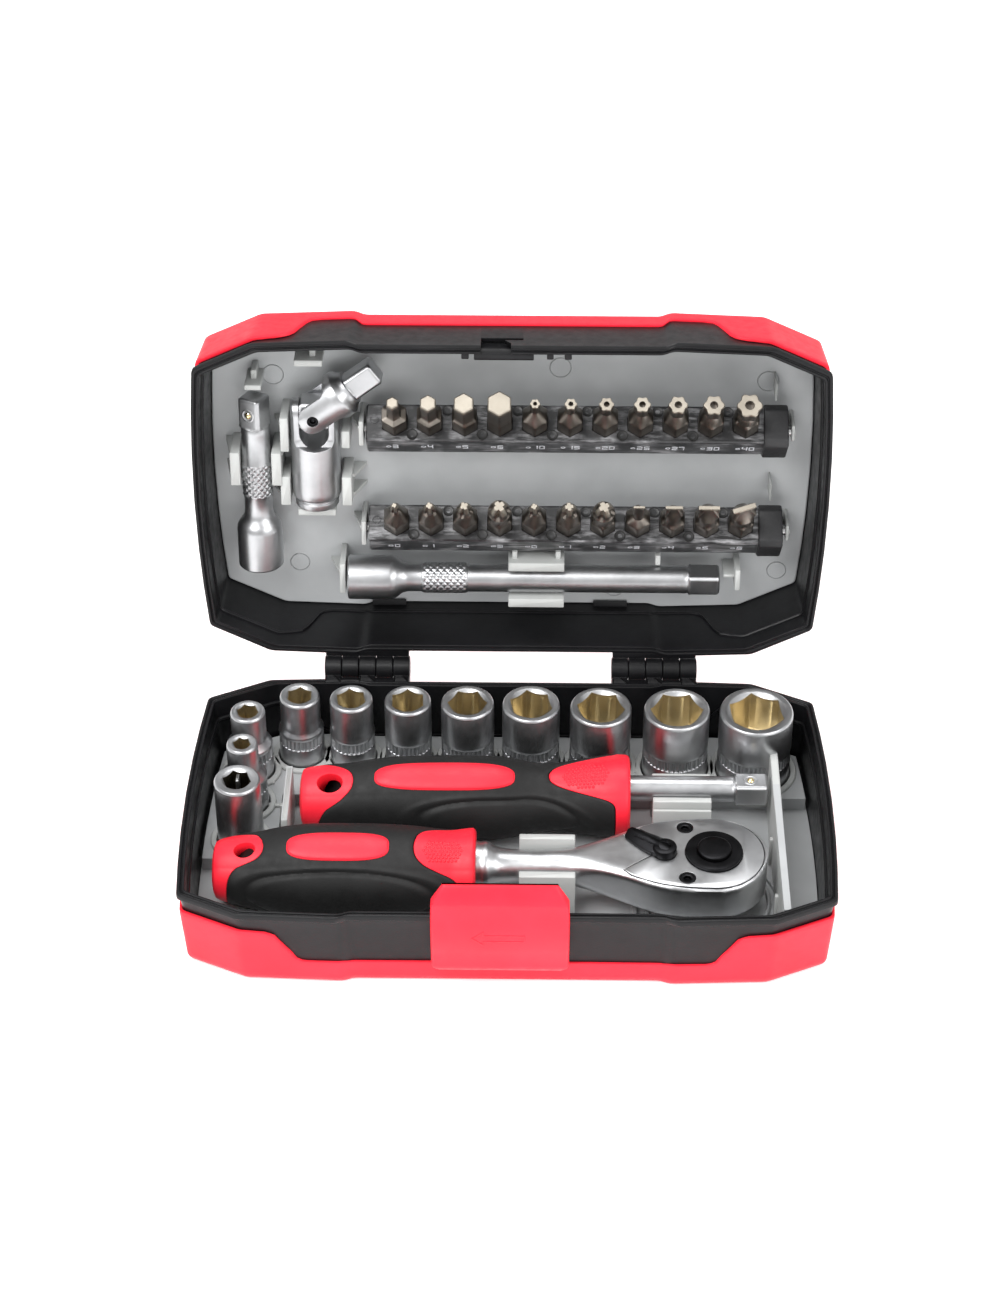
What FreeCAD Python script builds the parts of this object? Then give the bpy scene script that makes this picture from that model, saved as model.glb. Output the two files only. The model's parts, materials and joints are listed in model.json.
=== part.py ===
import FreeCAD, Part

import os
import re
from math import cos, pi, sin

import Sketcher
from FreeCAD import Placement, Rotation, Vector

# Quarter-inch socket wrench set in a hinged plastic case, drawn with the lid standing open.
#
# Frame: millimetres, +Z up, origin at the centre of the base's underside, +X to the right
# and -Y to the front.  Places in the case are given as "back", the distance forward of the
# back edge of the rim, and in the lid also as "deep", the distance below the lid's rim.

DIMENSIONS = {
    # case
    "case_height": 24.0, "half_depth": 45.75, "wall": 2.0, "floor_thick": 2.0, "draft": 1.2,
    "edge_inset": 1.8, "edge_height": 2.4, "skin": 1.0, "band": 3.5, "window_half": 57.0,
    "window_sill": 7.6, "middle_x": 39.2, "jog_x": 41.7, "jog": 1.09, "corner_back_x": 64.6,
    "corner_front_x": 66.3, "side_back_x": 80.6, "side_front_x": 81.5, "side_x": 82.8,
    "side_back_in": 7.8, "side_front_in": 8.0,
    # hinge
    "hinge_back": 5.0, "hinge_rise": 0.33, "hinge_x": 38.6, "knuckle_width": 4.4,
    "knuckle_pitch": 4.6, "knuckle_radius": 3.2, "pin_radius": 1.25, "open_angle": 97.5,
    # latch
    "latch_x": -1.5, "latch_width": 34.0, "latch_bottom": 8.4, "latch_top": 35.6,
    "latch_gap": 0.35, "latch_thick": 3.5, "latch_travel": 5.0, "hook_size": 4.0,
    # trays
    "tray_thick": 1.6, "plateau": 4.0, "pocket_gap": 0.35, "lid_tray_deep": 20.8,
    "lid_floor_deep": 22.2,
    # drive and sockets
    "square": 6.35, "square_hole": 6.45, "socket_height": 25.0, "drive_end": 12.0,
    "drive_depth": 9.5, "hex_depth": 12.0, "bit_across": 6.35, "bit_length": 25.0,
    # bit rails
    "rail_side": 10.0, "rail_deep": 12.5, "rail_tilt": 45.0, "rail_left": -37.9,
    "rail_right": 65.6, "block_length": 6.2, "block_side": 12.0, "bit_pitch": 9.1,
    "first_bit_x": -30.4, "bit_proud": 16.0, "upper_back": 61.1, "lower_back": 31.4,
    # ratchet
    "ratchet_back": 63.2, "ratchet_z": 15.5, "head_x": 52.0, "head_radius": 13.6,
    "head_thick": 10.5, "shank_radius": 4.3, "gear_radius": 7.6, "disc_radius": 7.2,
    "lever_x": 39.6, "lever_rest": 35.0, "pawl_rest": 8.0, "button_radius": 4.3,
    "ratchet_grip_left": -74.6, "ratchet_grip_right": -8.0, "ratchet_grip_radius": 11.0,
    # driver
    "driver_back": 34.9, "driver_z": 17.0, "driver_grip_left": -54.0,
    "driver_grip_right": 31.4, "driver_grip_radius": 10.1, "driver_shaft_radius": 3.2,
    "driver_shaft_end": 58.8, "sleeve": 1.2,
    # extensions and universal joint
    "bar_radius": 3.75, "bar_end_radius": 6.0, "bar_end_length": 13.0, "square_length": 8.5,
    "short_bar": 50.0, "short_bar_x": -67.2, "short_bar_back": 20.5, "long_bar": 100.0,
    "long_bar_x": -44.0, "long_bar_back": 16.4, "bar_deep": 12.0, "joint_x": -51.5,
    "joint_back": 66.1, "joint_radius": 6.4, "joint_gap": 3.9, "joint_bend": 53.0,
    "joint_socket": 27.0,
}

# Nominal size, distance right of centre, distance forward of the back edge, outside diameter.
SOCKETS = [
    (13, 64.9, 17.0, 19.4), (12, 44.0, 16.4, 17.4), (11, 24.0, 15.7, 16.2),
    (10, 5.6, 14.7, 15.2), (9, -11.2, 14.3, 14.0), (8, -27.0, 13.7, 12.4),
    (7, -42.0, 13.1, 11.4), (6, -55.7, 12.0, 10.6), (5, -68.9, 18.7, 9.2),
    (4, -69.3, 31.6, 8.2),
]
ADAPTER = (-69.4, 45.8, 11.9)

doc = FreeCAD.newDocument("socket_set")
sheet = doc.addObject("Spreadsheet::Sheet", "dims")
for row, (alias, number) in enumerate(DIMENSIONS.items(), start=1):
    sheet.set("A%d" % row, alias)
    sheet.set("B%d" % row, str(number))
    sheet.setAlias("B%d" % row, alias)
doc.recompute()

X_AXIS, Y_AXIS, Z_AXIS = Vector(1, 0, 0), Vector(0, 1, 0), Vector(0, 0, 1)
TURNS = {"X": Rotation(Y_AXIS, 90), "Y": Rotation(X_AXIS, -90), "Z": Rotation()}
nodes = []


# --- helpers -----------------------------------------------------------------------------

def dim(expression):
    """The number that an expression of the sheet's aliases comes to."""
    return sheet.evalExpression(bound(expression))


def bound(expression):
    """The expression with each alias written as a reference to the sheet."""
    def reference(match):
        return "dims." + match.group() if match.group() in DIMENSIONS else match.group()
    return re.sub(r"[a-z_]+", reference, str(expression))


def primitive(kind, at=(0, 0, 0), axis="Z", spin=0, **sizes):
    """A Part primitive whose sizes and place follow the sheet; axis is where its Z goes."""
    item = doc.addObject("Part::" + kind, kind.lower())
    for name, size in sizes.items():
        item.setExpression(name, bound(size))
    item.Placement.Rotation = TURNS[axis] * Rotation(Z_AXIS, spin)
    for letter, place in zip("xyz", at):
        item.setExpression(".Placement.Base." + letter, bound(place))
    return item


def box(length, width, height, at=(0, 0, 0)):
    """A box centred on at in X and Y, standing on it in Z."""
    corner = ("%s - (%s) / 2" % (at[0], length), "%s - (%s) / 2" % (at[1], width), at[2])
    return primitive("Box", corner, Length=length, Width=width, Height=height)


def cylinder(radius, height, at=(0, 0, 0), axis="Z"):
    return primitive("Cylinder", at, axis, Radius=radius, Height=height)


def cone(radius1, radius2, height, at=(0, 0, 0), axis="Z"):
    return primitive("Cone", at, axis, Radius1=radius1, Radius2=radius2, Height=height)


def ball(radius, at=(0, 0, 0)):
    return primitive("Sphere", at, Radius=radius)


def hexagon(across, height, at=(0, 0, 0), axis="Z", spin=0):
    """A hexagonal prism of the given size across its flats."""
    return primitive("Prism", at, axis, spin, Circumradius="(%s) / 1.7320508" % across,
                     Height=height)


def fuse(*items):
    joined = doc.addObject("Part::MultiFuse", "fuse")
    joined.Shapes = list(items)
    return joined


def cut(base, *tools):
    """The base less every tool."""
    result = doc.addObject("Part::Cut", "cut")
    result.Base = base
    result.Tool = tools[0] if len(tools) == 1 else fuse(*tools)
    return result


def common(*items):
    shared = doc.addObject("Part::MultiCommon", "common")
    shared.Shapes = list(items)
    return shared


def group(*items):
    """Items kept together as one compound."""
    kept = doc.addObject("Part::Compound", "group")
    kept.Links = list(items)
    return kept


def formed(shape):
    """An object whose shape comes from Part's own functions."""
    item = doc.addObject("Part::Feature", "formed")
    item.Shape = shape
    return item


def placed(item, placement):
    """The item carried to a placement, for use inside another boolean."""
    holder = group(item)
    holder.Placement = placement
    return holder


def node(label, item, placement=Placement()):
    """Name a finished sub-part and put it in its place."""
    piece = item if item.TypeId in ("Part::Cut", "Part::Feature") else group(item)
    piece.Label = label
    piece.Placement = placement
    nodes.append(piece)
    return piece


def turned(profile, axis="Z"):
    """A body revolved about its Z axis from (radius, height) points bound to the sheet."""
    body = doc.addObject("PartDesign::Body", "turned")
    sketch = body.newObject("Sketcher::SketchObject", "profile")
    plane = [f for f in body.Origin.OriginFeatures if f.Role == "XZ_Plane"][0]
    sketch.AttachmentSupport = [(plane, "")]
    sketch.MapMode = "FlatFace"
    corners = [Vector(dim(radius), dim(height), 0) for radius, height in profile]
    for number, corner in enumerate(corners):
        sketch.addGeometry(Part.LineSegment(corner, corners[(number + 1) % len(corners)]))
    for number, (radius, height) in enumerate(profile):
        follower = (number + 1) % len(corners)
        sketch.addConstraint(Sketcher.Constraint("Coincident", number, 2, follower, 1))
        pin_down(sketch, number, "DistanceX", radius, corners[number].x, -2)
        pin_down(sketch, number, "DistanceY", height, corners[number].y, -1)
    solid = body.newObject("PartDesign::Revolution", "revolution")
    solid.Profile = sketch
    solid.ReferenceAxis = (sketch, ["V_Axis"])
    solid.Angle = 360
    body.Tip = solid
    body.Placement = Placement(Vector(), TURNS[axis])
    return body


def pin_down(sketch, line, kind, expression, value, axis):
    """Hold a line's start on an axis, or at a distance from the origin that the sheet sets."""
    if abs(value) < 1e-9:
        sketch.addConstraint(Sketcher.Constraint("PointOnObject", line, 1, axis))
        return
    index = sketch.addConstraint(Sketcher.Constraint(kind, -1, 1, line, 1, value))
    sketch.setExpression("Constraints[%d]" % index, bound(expression))


def base_at(x, back, z):
    """A place in the base."""
    return Placement(Vector(dim(x), dim("half_depth") - dim(back), dim(z)), Rotation())


def lid_at(x, back, deep, rotation=Rotation()):
    """A place in the open lid, whose own Y runs from its back edge to its front."""
    local = Placement(Vector(dim(x), dim(back) - dim("half_depth"), -dim(deep)), rotation)
    return LID * local


LID = Placement(Vector(0, dim("half_depth + hinge_back"), dim("case_height + hinge_rise")),
                Rotation(X_AXIS, 180 - dim("open_angle")))
LID = LID * Placement(Vector(0, dim("hinge_back + half_depth"), dim("hinge_rise")), Rotation())


# --- case --------------------------------------------------------------------------------

def rim_outline(inset, z, facing):
    """The case's outline at height z; facing is the sign of Y at the front."""
    across = 1 - inset / dim("side_x")
    along = 1 - inset / dim("half_depth")
    deep = dim("half_depth")
    half = [
        (dim("middle_x"), -deep + dim("jog") / 4), (dim("jog_x"), -deep - dim("jog") * 3 / 4),
        (dim("corner_back_x"), -deep), (dim("side_back_x"), -deep + dim("side_back_in")),
        (dim("side_front_x"), deep - dim("side_front_in")),
        (dim("corner_front_x"), deep - 1), (dim("jog_x"), deep), (dim("middle_x"), deep - dim("jog")),
    ]
    right = [Vector(x * across, facing * y * along, z) for x, y in half]
    left = [Vector(-point.x, point.y, z) for point in reversed(right)]
    bow = Vector(dim("side_x") * across, 0, z)
    corners = right + left
    edges = []
    for number, start in enumerate(corners):
        end = corners[(number + 1) % len(corners)]
        if start.x == end.x or start.y * end.y > 0:
            edges.append(Part.makeLine(start, end))
        else:
            middle = Vector(bow.x if start.x > 0 else -bow.x, 0, z)
            edges.append(Part.Arc(start, middle, end).toShape())
    return Part.Wire(edges)


def lofted(sections, facing):
    """A solid through outlines given as (inset, z)."""
    wires = [rim_outline(inset, z, facing) for inset, z in sections]
    return Part.makeLoft(wires, True, True)


def case_half(rim_z, facing, floor_z):
    """The black shell and the coloured cover of one half, whose underside is at z 0."""
    height, draft, wall, skin = dim("case_height"), dim("draft"), dim("wall"), dim("skin")
    low = rim_z - height
    outer = lofted([(draft + dim("edge_inset"), low), (draft, low + dim("edge_height")),
                    (0, rim_z)], facing)
    cavity = lofted([(draft + wall, floor_z), (wall, rim_z)], facing)
    core = lofted([(draft + dim("edge_inset") + 0.5, low + skin),
                   (draft + skin, low + dim("edge_height") + 0.5), (skin, rim_z)], facing)
    reach = 4 * dim("side_x")
    above = Part.makeBox(reach, reach, height, Vector(-reach / 2, -reach / 2, rim_z - dim("band")))
    window = Part.makeBox(2 * dim("window_half"), reach, height,
                          Vector(-dim("window_half"), -reach / 2, low + dim("window_sill")))
    cover = outer.cut(core).cut(above).cut(window)
    shell = outer.cut(cavity).cut(cover)
    return shell, cover


def knuckles(slots, away):
    """Hinge knuckles with their arms, about a hinge line at the origin; away is -1 or 1."""
    pieces = []
    for side in ("-hinge_x", "hinge_x"):
        for slot in slots:
            middle = "%s + (%d) * knuckle_pitch" % (side, slot)
            start = "%s - knuckle_width / 2" % middle
            arm = box("knuckle_width", "hinge_back + 1.3", "knuckle_radius + 1.6",
                      (middle, "%d * (hinge_back + 1.3) / 2" % away, "-knuckle_radius - 2"))
            pieces.append(fuse(cylinder("knuckle_radius", "knuckle_width", (start, 0, 0), "X"), arm))
    return pieces


def bores(radius):
    """The holes through both hinges' knuckles."""
    return [cylinder(radius, "6 * knuckle_pitch", ("%s - 3 * knuckle_pitch" % side, 0, 0), "X")
            for side in ("-hinge_x", "hinge_x")]


def make_base_case():
    shell, cover = case_half(dim("case_height"), -1, dim("floor_thick"))
    at_hinge = Placement(Vector(0, dim("half_depth + hinge_back"),
                                dim("case_height + hinge_rise")), Rotation())
    ears = placed(fuse(*knuckles((-2, 0, 2), -1)), at_hinge)
    clear = placed(fuse(*bores("pin_radius")), at_hinge)
    groove = box("latch_width - 4 + latch_travel", 4, 4.4,
                 ("latch_x + latch_travel / 2", "-half_depth + jog - 0.2", "latch_bottom + 1.8"))
    node("base_shell", cut(fuse(formed(shell), ears), clear, groove))
    node("base_cover", formed(cover))
    pins = [cylinder("pin_radius", "5 * knuckle_pitch - 0.4",
                     ("%s - 2.5 * knuckle_pitch + 0.2" % side, 0, 0), "X")
            for side in ("-hinge_x", "hinge_x")]
    node("hinge_pins", group(*pins), at_hinge)


def make_lid_case():
    """The lid's shell stands on its own floor, at minus its height below its rim."""
    shell, cover = case_half(0, 1, -dim("lid_floor_deep"))
    to_hinge = Placement(Vector(0, -dim("half_depth + hinge_back"), -dim("hinge_rise")), Rotation())
    ears = placed(fuse(*knuckles((-1, 1), 1)), to_hinge)
    clear = placed(fuse(*bores("pin_radius + 0.05")), to_hinge)
    entry = box("hook_size + 1", 6, 6.4, ("latch_x - 4.2", "half_depth - 2", -6.4))
    channel = box("hook_size + 1 + latch_travel", 6, 3.4,
                  ("latch_x - 4.2 + latch_travel / 2", "half_depth - 2", -6.4))
    node("lid_shell", cut(fuse(formed(shell), ears), clear, entry, channel), LID)
    node("lid_cover", formed(cover), LID)


def make_latch():
    """A plate on the front that slides sideways; its hook enters the lid's L-shaped slot."""
    front = "-half_depth + jog - latch_gap - latch_thick"
    plate = box("latch_width", "latch_thick", "latch_top - latch_bottom",
                ("latch_x", "%s + latch_thick / 2" % front, "latch_bottom"))
    bevel = primitive("Box", ("latch_x - latch_width", "%s - 1.9" % front, "latch_top - 0.6"),
                      Length="2 * latch_width", Width=6, Height=6)
    bevel.Placement.Rotation = Rotation(X_AXIS, 40)
    tongue = box("latch_width - 5", 3.2, 4.0,
                 ("latch_x", "-half_depth + jog - 0.2", "latch_bottom + 2"))
    hook = box("hook_size", 4.0, 2.4,
               ("latch_x - 4.2", "-half_depth + jog + 0.6", "case_height + 3.5"))
    node("latch", fuse(cut(plate, bevel), tongue, hook))


# --- trays -------------------------------------------------------------------------------

def make_base_tray():
    """The insert that holds the tools: pockets for the sockets, clips and fences."""
    inset = dim("wall + draft + 0.1")
    low, top = dim("floor_thick"), dim("floor_thick + tray_thick")
    step = dim("plateau")
    plate = lofted([(inset, low), (inset, top)], -1)
    raised = lofted([(inset + 0.5, top), (inset + 0.5, top + step)], -1)
    deep = dim("half_depth")
    back_row = Part.makeBox(400, 28, 60, Vector(-200, deep - 28, 0))
    left_column = Part.makeBox(140, 53, 60, Vector(-200, deep - 53, 0))
    plateau = raised.common(back_row.fuse(left_column))
    body = fuse(
        formed(plate), formed(plateau),
        box(1.8, 62, 17.6, (69.2, "half_depth - 53", "floor_thick + tray_thick")),
        box(1.6, 21, 14.4, (-57.6, "half_depth - 39", "floor_thick + tray_thick")),
        clip_plate(14, 10, "ratchet_back - shank_radius - 1.7", 16.5),
        clip_plate(14, 10, "ratchet_back + shank_radius + 1.7", 14.5),
        clip_plate(15, 45, "driver_back + driver_shaft_radius + 1.3", 13.5),
        clip_plate(15, 45, "driver_back - driver_shaft_radius - 1.5", 13.5),
    )
    holes = [cylinder("%g / 2 + pocket_gap" % max(width, dim("drive_end")), 60,
                      (x, "half_depth - %g" % back, top))
             for _, x, back, width in SOCKETS + [(0,) + ADAPTER]]
    well = cylinder(6, 60, ("head_x", "half_depth - ratchet_back", low))
    head_room = cylinder("head_radius + 0.4", 60,
                         ("head_x", "half_depth - ratchet_back", top))
    node("base_tray", cut(body, well, head_room, *holes))


def clip_plate(length, x, back, height):
    """An upright plate 1.8 thick beside a shaft in the base."""
    return box(length, 1.8, height, (x, "half_depth - (%s)" % back, "floor_thick + tray_thick"))


def lid_wall(length, width, x, back, deep):
    """An upright block from the lid tray's face up to the given depth below the rim."""
    return box(length, width, "lid_tray_deep - (%s)" % deep,
               (x, "(%s) - half_depth" % back, "-lid_tray_deep"))


def make_lid_tray():
    """The lid's insert with its clips, stops and rail bearings."""
    inset = dim("wall + draft + 0.1")
    plate = lofted([(inset, -dim("lid_floor_deep")), (inset, -dim("lid_tray_deep"))], 1)
    holders = [
        lid_wall(2.6, 9.5, "short_bar_x - bar_radius - 1.7", 50.6, 8.5),
        lid_wall(2.6, 9.5, "short_bar_x + bar_radius + 1.7", 50.6, 8.5),
        lid_wall(5.5, 2, "short_bar_x", 73.6, 8.5),
        lid_wall(2.2, 10, "joint_x - joint_radius - 1.5", 60.5, 9),
        lid_wall(2.2, 5, "joint_x + joint_radius + 1.5", 58.5, 10.5),
        lid_wall(2.6, 8, "joint_x - joint_radius - 1.7", 44, 9),
        lid_wall(2.6, 8, "joint_x + joint_radius + 1.7", 44, 9),
        lid_wall(10, 2, "joint_x", "joint_back - joint_socket - 1.5", 9),
        lid_wall(10, 2, "joint_x + 0.5", 85.2, 10),
        lid_wall(15, 2.6, 6.7, "long_bar_back + bar_radius + 1.8", 8),
        lid_wall(15, 2.6, 6.7, "long_bar_back - bar_radius - 1.8", 8),
        lid_wall(1.6, 9, "long_bar_x - 1.3", "long_bar_back + 1", 9),
        lid_wall(1.6, 6, "long_bar_x + long_bar + 1.5", "long_bar_back + 1", 10),
    ]
    bearings, holes = [], []
    for back in ("upper_back", "lower_back"):
        for x in ("rail_left - 1.4", "rail_right + block_length + 1.4"):
            bearings.append(lid_wall(1.8, 7, x, back, "rail_deep - 3.5"))
            holes.append(cylinder(1.2, 4, ("%s - 2" % x, "(%s) - half_depth" % back, "-rail_deep"), "X"))
    node("lid_tray", cut(fuse(formed(plate), *(holders + bearings)), *holes), LID)
    pins = []
    for back in ("upper_back", "lower_back"):
        y = "(%s) - half_depth" % back
        pins.append(cylinder(1.2, 4.6, ("rail_left - 2.3", y, "-rail_deep"), "X"))
        pins.append(cylinder(1.2, 4.6, ("rail_right + block_length - 2.3", y, "-rail_deep"), "X"))
    node("rail_pins", group(*pins), LID)


# --- bits --------------------------------------------------------------------------------

def bit_seat(slot):
    return "first_bit_x + %d * bit_pitch" % slot


def make_rail(label, placement):
    """A rail along X with eleven hexagonal seats; the bits point along its Z."""
    bar = box("rail_right - rail_left", "rail_side", "rail_side",
              ("(rail_left + rail_right) / 2", 0, "-rail_side / 2"))
    block = common(
        box("block_length", "block_side", "block_side",
            ("rail_right + block_length / 2", 0, "-block_side / 2")),
        cylinder("block_side * 0.64", "block_length", ("rail_right", 0, 0), "X"))
    seats = [hexagon("bit_across", 20, (bit_seat(slot), 0, "rail_side / 2 + bit_proud - bit_length"),
                     spin=30) for slot in range(11)]
    ends = [cylinder(1.25, 3, ("rail_left - 0.1", 0, 0), "X"),
            cylinder(1.25, 3, ("rail_right + block_length - 2.9", 0, 0), "X")]
    node(label, cut(fuse(bar, block), *(seats + ends)), placement)


def shank(slot, tip_length):
    """The plain hexagon of a bit, from its foot up to where its tip starts."""
    return hexagon("bit_across", "bit_length - %g" % tip_length,
                   (bit_seat(slot), 0, "rail_side / 2 + bit_proud - bit_length"), spin=30)


def tip_start(tip_length):
    return "rail_side / 2 + bit_proud - %g" % tip_length


def hex_bit(slot, across):
    length = 9
    return fuse(shank(slot, length),
                hexagon(across, length, (bit_seat(slot), 0, tip_start(length)), spin=30))


def star_bit(slot, width):
    """A six-lobed tip: two crossed triangles of lobes come to a twelve-point outline."""
    length, neck = 10, 4
    points = []
    for step in range(12):
        reach = width / 2 if step % 2 == 0 else width * 0.37
        points.append(Vector(reach * cos(step * pi / 6), reach * sin(step * pi / 6), 0))
    face = Part.Face(Part.makePolygon(points + points[:1]))
    at = Vector(dim(bit_seat(slot)), 0, dim(tip_start(length - neck)))
    lobes = formed(face.extrude(Vector(0, 0, length - neck)).translated(at))
    neck_cone = cone(3.1, width * 0.36, neck, (bit_seat(slot), 0, tip_start(length)))
    pin_hole = cylinder(width * 0.13, 3, (bit_seat(slot), 0, tip_start(2)))
    return cut(fuse(shank(slot, length), neck_cone, lobes), pin_hole)


def cross_bit(slot, width, diagonal):
    """A pointed cross; a second, finer cross lies between the wings where diagonal is true."""
    length = 9
    at = (bit_seat(slot), 0, tip_start(length))
    point = cone(3.1, width * 0.3, length, at)
    wing = max(width * 0.24, 0.7)
    wings = fuse(box(7, wing, length, at), box(wing, 7, length, at))
    root = cone(3.1, 0.3, length - 1, at)
    pieces = [common(point, wings), root]
    if diagonal:
        finer = fuse(box(7, wing / 2, length, at), box(wing / 2, 7, length, at))
        turn = Rotation(Z_AXIS, 45)
        centre = Vector(dim(bit_seat(slot)), 0, 0)
        spun = placed(finer, Placement(centre - turn.multVec(centre), turn))
        pieces.append(common(cone(2.8, width * 0.24, length - 0.4, at), spun))
    return fuse(shank(slot, length), *pieces)


def slotted_bit(slot, width, blade):
    length = 9
    at = (bit_seat(slot), 0, tip_start(length))
    round_stem = cylinder(min(width / 2, 3.1), length - 4, at)
    flat = box(width, blade, length, at)
    wedge = cone(4, 0.4, length + 3, at)
    return fuse(shank(slot, length), round_stem, common(flat, fuse(wedge, cylinder(width / 2, length, at))))


def make_bits():
    tilt = Rotation(X_AXIS, -dim("rail_tilt"))
    upper = lid_at(0, "upper_back", "rail_deep", tilt)
    lower = lid_at(0, "lower_back", "rail_deep", tilt)
    make_rail("bit_rail_upper", upper)
    make_rail("bit_rail_lower", lower)
    hexes = [hex_bit(slot, across) for slot, across in enumerate((3, 4, 5, 6))]
    node("hex_bits", group(*hexes), upper)
    stars = [star_bit(slot, width)
             for slot, width in enumerate((2.7, 3.3, 3.9, 4.4, 5.0, 5.5, 6.6), start=4)]
    node("star_bits", group(*stars), upper)
    crosses = [cross_bit(slot, width, False) for slot, width in enumerate((1.6, 2.4, 3.2, 5.0))]
    node("cross_bits", group(*crosses), lower)
    fine = [cross_bit(slot, width, True) for slot, width in enumerate((2.4, 3.4, 4.6), start=4)]
    node("fine_cross_bits", group(*fine), lower)
    blades = [slotted_bit(slot, width, blade) for slot, (width, blade)
              in enumerate(((3.0, 0.6), (4.5, 0.8), (5.5, 1.0), (6.3, 1.2)), start=7)]
    node("slotted_bits", group(*blades), lower)


# --- sockets -----------------------------------------------------------------------------

def make_socket(size, x, back, width):
    """A hexagon in the top, a square drive in the foot and a through hole between them."""
    foot = max(width, dim("drive_end"))
    waist = "socket_height * 0.45"
    outside = turned([
        (0, 0), (foot / 2 - 0.5, 0), (foot / 2, 0.5), (foot / 2, waist),
        (width / 2, "%s + %g" % (waist, 0.6 + (foot - width) / 2)),
        (width / 2, "socket_height - 0.6"), (width / 2 - 0.6, "socket_height"),
        (0, "socket_height")])
    across = size + 0.12
    depth = "min(hex_depth; %g)" % (size + 3)
    tools = [
        hexagon(across, 20, (0, 0, "socket_height - %s" % depth), spin=30),
        cone(across / 2, across / 2 + 1.0, 1.0, (0, 0, "socket_height - 0.95")),
        box("square_hole", "square_hole", "drive_depth + 1", (0, 0, -1)),
        cylinder(min(2.4, across * 0.42), "socket_height - 6", (0, 0, 3)),
    ]
    node("socket_%d" % size, cut(outside, *tools), base_at(x, back, "floor_thick + tray_thick"))


def make_adapter():
    """Holds a hexagonal bit on a square drive; a spring pin crosses its hexagon."""
    x, back, width = ADAPTER
    place = base_at(x, back, "floor_thick + tray_thick")
    outside = turned([(0, 0), (width / 2 - 0.5, 0), (width / 2, 0.5),
                      (width / 2, "socket_height - 0.6"), (width / 2 - 0.6, "socket_height"),
                      (0, "socket_height")])
    clip_z = "socket_height - 4"
    node("bit_adapter", cut(
        outside, hexagon("bit_across + 0.1", 20, (0, 0, "socket_height - 13"), spin=30),
        box("square_hole", "square_hole", "drive_depth + 1", (0, 0, -1)),
        cylinder(0.5, width, (-width / 2, 3.0, clip_z), "X")), place)
    node("adapter_clip", group(cylinder(0.5, width - 0.8, (0.4 - width / 2, 3.0, clip_z), "X")), place)


# --- ratchet -----------------------------------------------------------------------------

def grip(label, left, right, radius, placement, back_step):
    """A moulded handle along X: a hard core with a hang hole, and a soft sleeve around it."""
    length = "(%s) - (%s)" % (right, left)
    profile = [(0, 0), ("(%s) * 0.7" % radius, 0), ("(%s) * 0.82" % radius, 1.5),
               ("(%s) * 0.86" % radius, "(%s) * 0.14" % length),
               (radius, "(%s) * 0.4" % length), ("(%s) * 0.94" % radius, "(%s) * 0.72" % length),
               ("(%s) * 0.9" % radius, "(%s) * 0.86" % length),
               ("(%s) * 0.94" % radius, "%s - 1" % length), ("(%s) * 0.9" % radius, length),
               (0, length)]
    whole = turned(profile, "X")
    ring_start, ring_length = "(%s) * 0.13" % length, "(%s) * 0.8" % length
    ring = cut(cylinder("2 * (%s)" % radius, ring_length, (ring_start, 0, 0), "X"),
               cylinder("(%s) * 0.86 - sleeve" % radius, "%s + 2" % ring_length,
                        ("%s - 1" % ring_start, 0, 0), "X"))
    at_start = placement * Placement(Vector(dim(left), 0, 0), Rotation())
    hang = cylinder(2.6, 60, (back_step, 0, -30))
    tang = cylinder(4, "%s + 2" % length, (14, 0, 0), "X")
    node(label + "_grip_core", cut(whole, ring, hang, tang), at_start)
    node(label + "_grip_sleeve", cut(common(whole, ring), hang), at_start)


def head_plate_outline(z, thick, shrink):
    """The teardrop of the ratchet head: a disc drawn out towards the shank."""
    disc = cylinder("head_radius - %g" % shrink, thick, ("head_x", 0, z))
    radius, head_x = dim("head_radius"), dim("head_x")
    flank = [(29, dim("shank_radius")), (23, 6.9), (16.7, 11.2), (9.6, radius - 0.5), (0, radius)]
    edges = []
    for side in (-1, 1):
        points = [Vector(head_x - behind, side * (wide - shrink), 0) for behind, wide in flank]
        curve = Part.BSplineCurve()
        curve.interpolate(points)
        edges.append(curve.toShape())
    ends = [[edge.Vertexes[end].Point for edge in edges] for end in (0, 1)]
    edges += [Part.makeLine(*pair) for pair in ends]
    face = Part.Face(Part.Wire(Part.__sortEdges__(edges)))
    wedge = face.extrude(Vector(0, 0, thick)).translated(Vector(0, 0, dim(z)))
    return fuse(disc, formed(wedge))


def toothed_wheel(radius, teeth, height, z):
    """A wheel with pointed teeth, centred on the head."""
    points = []
    for step in range(2 * teeth):
        reach = radius if step % 2 == 0 else radius - 0.5
        angle = step * pi / teeth
        points.append(Vector(reach * cos(angle), reach * sin(angle), 0))
    face = Part.Face(Part.makePolygon(points + points[:1]))
    return formed(face.extrude(Vector(0, 0, height)).translated(Vector(dim("head_x"), 0, z)))


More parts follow.
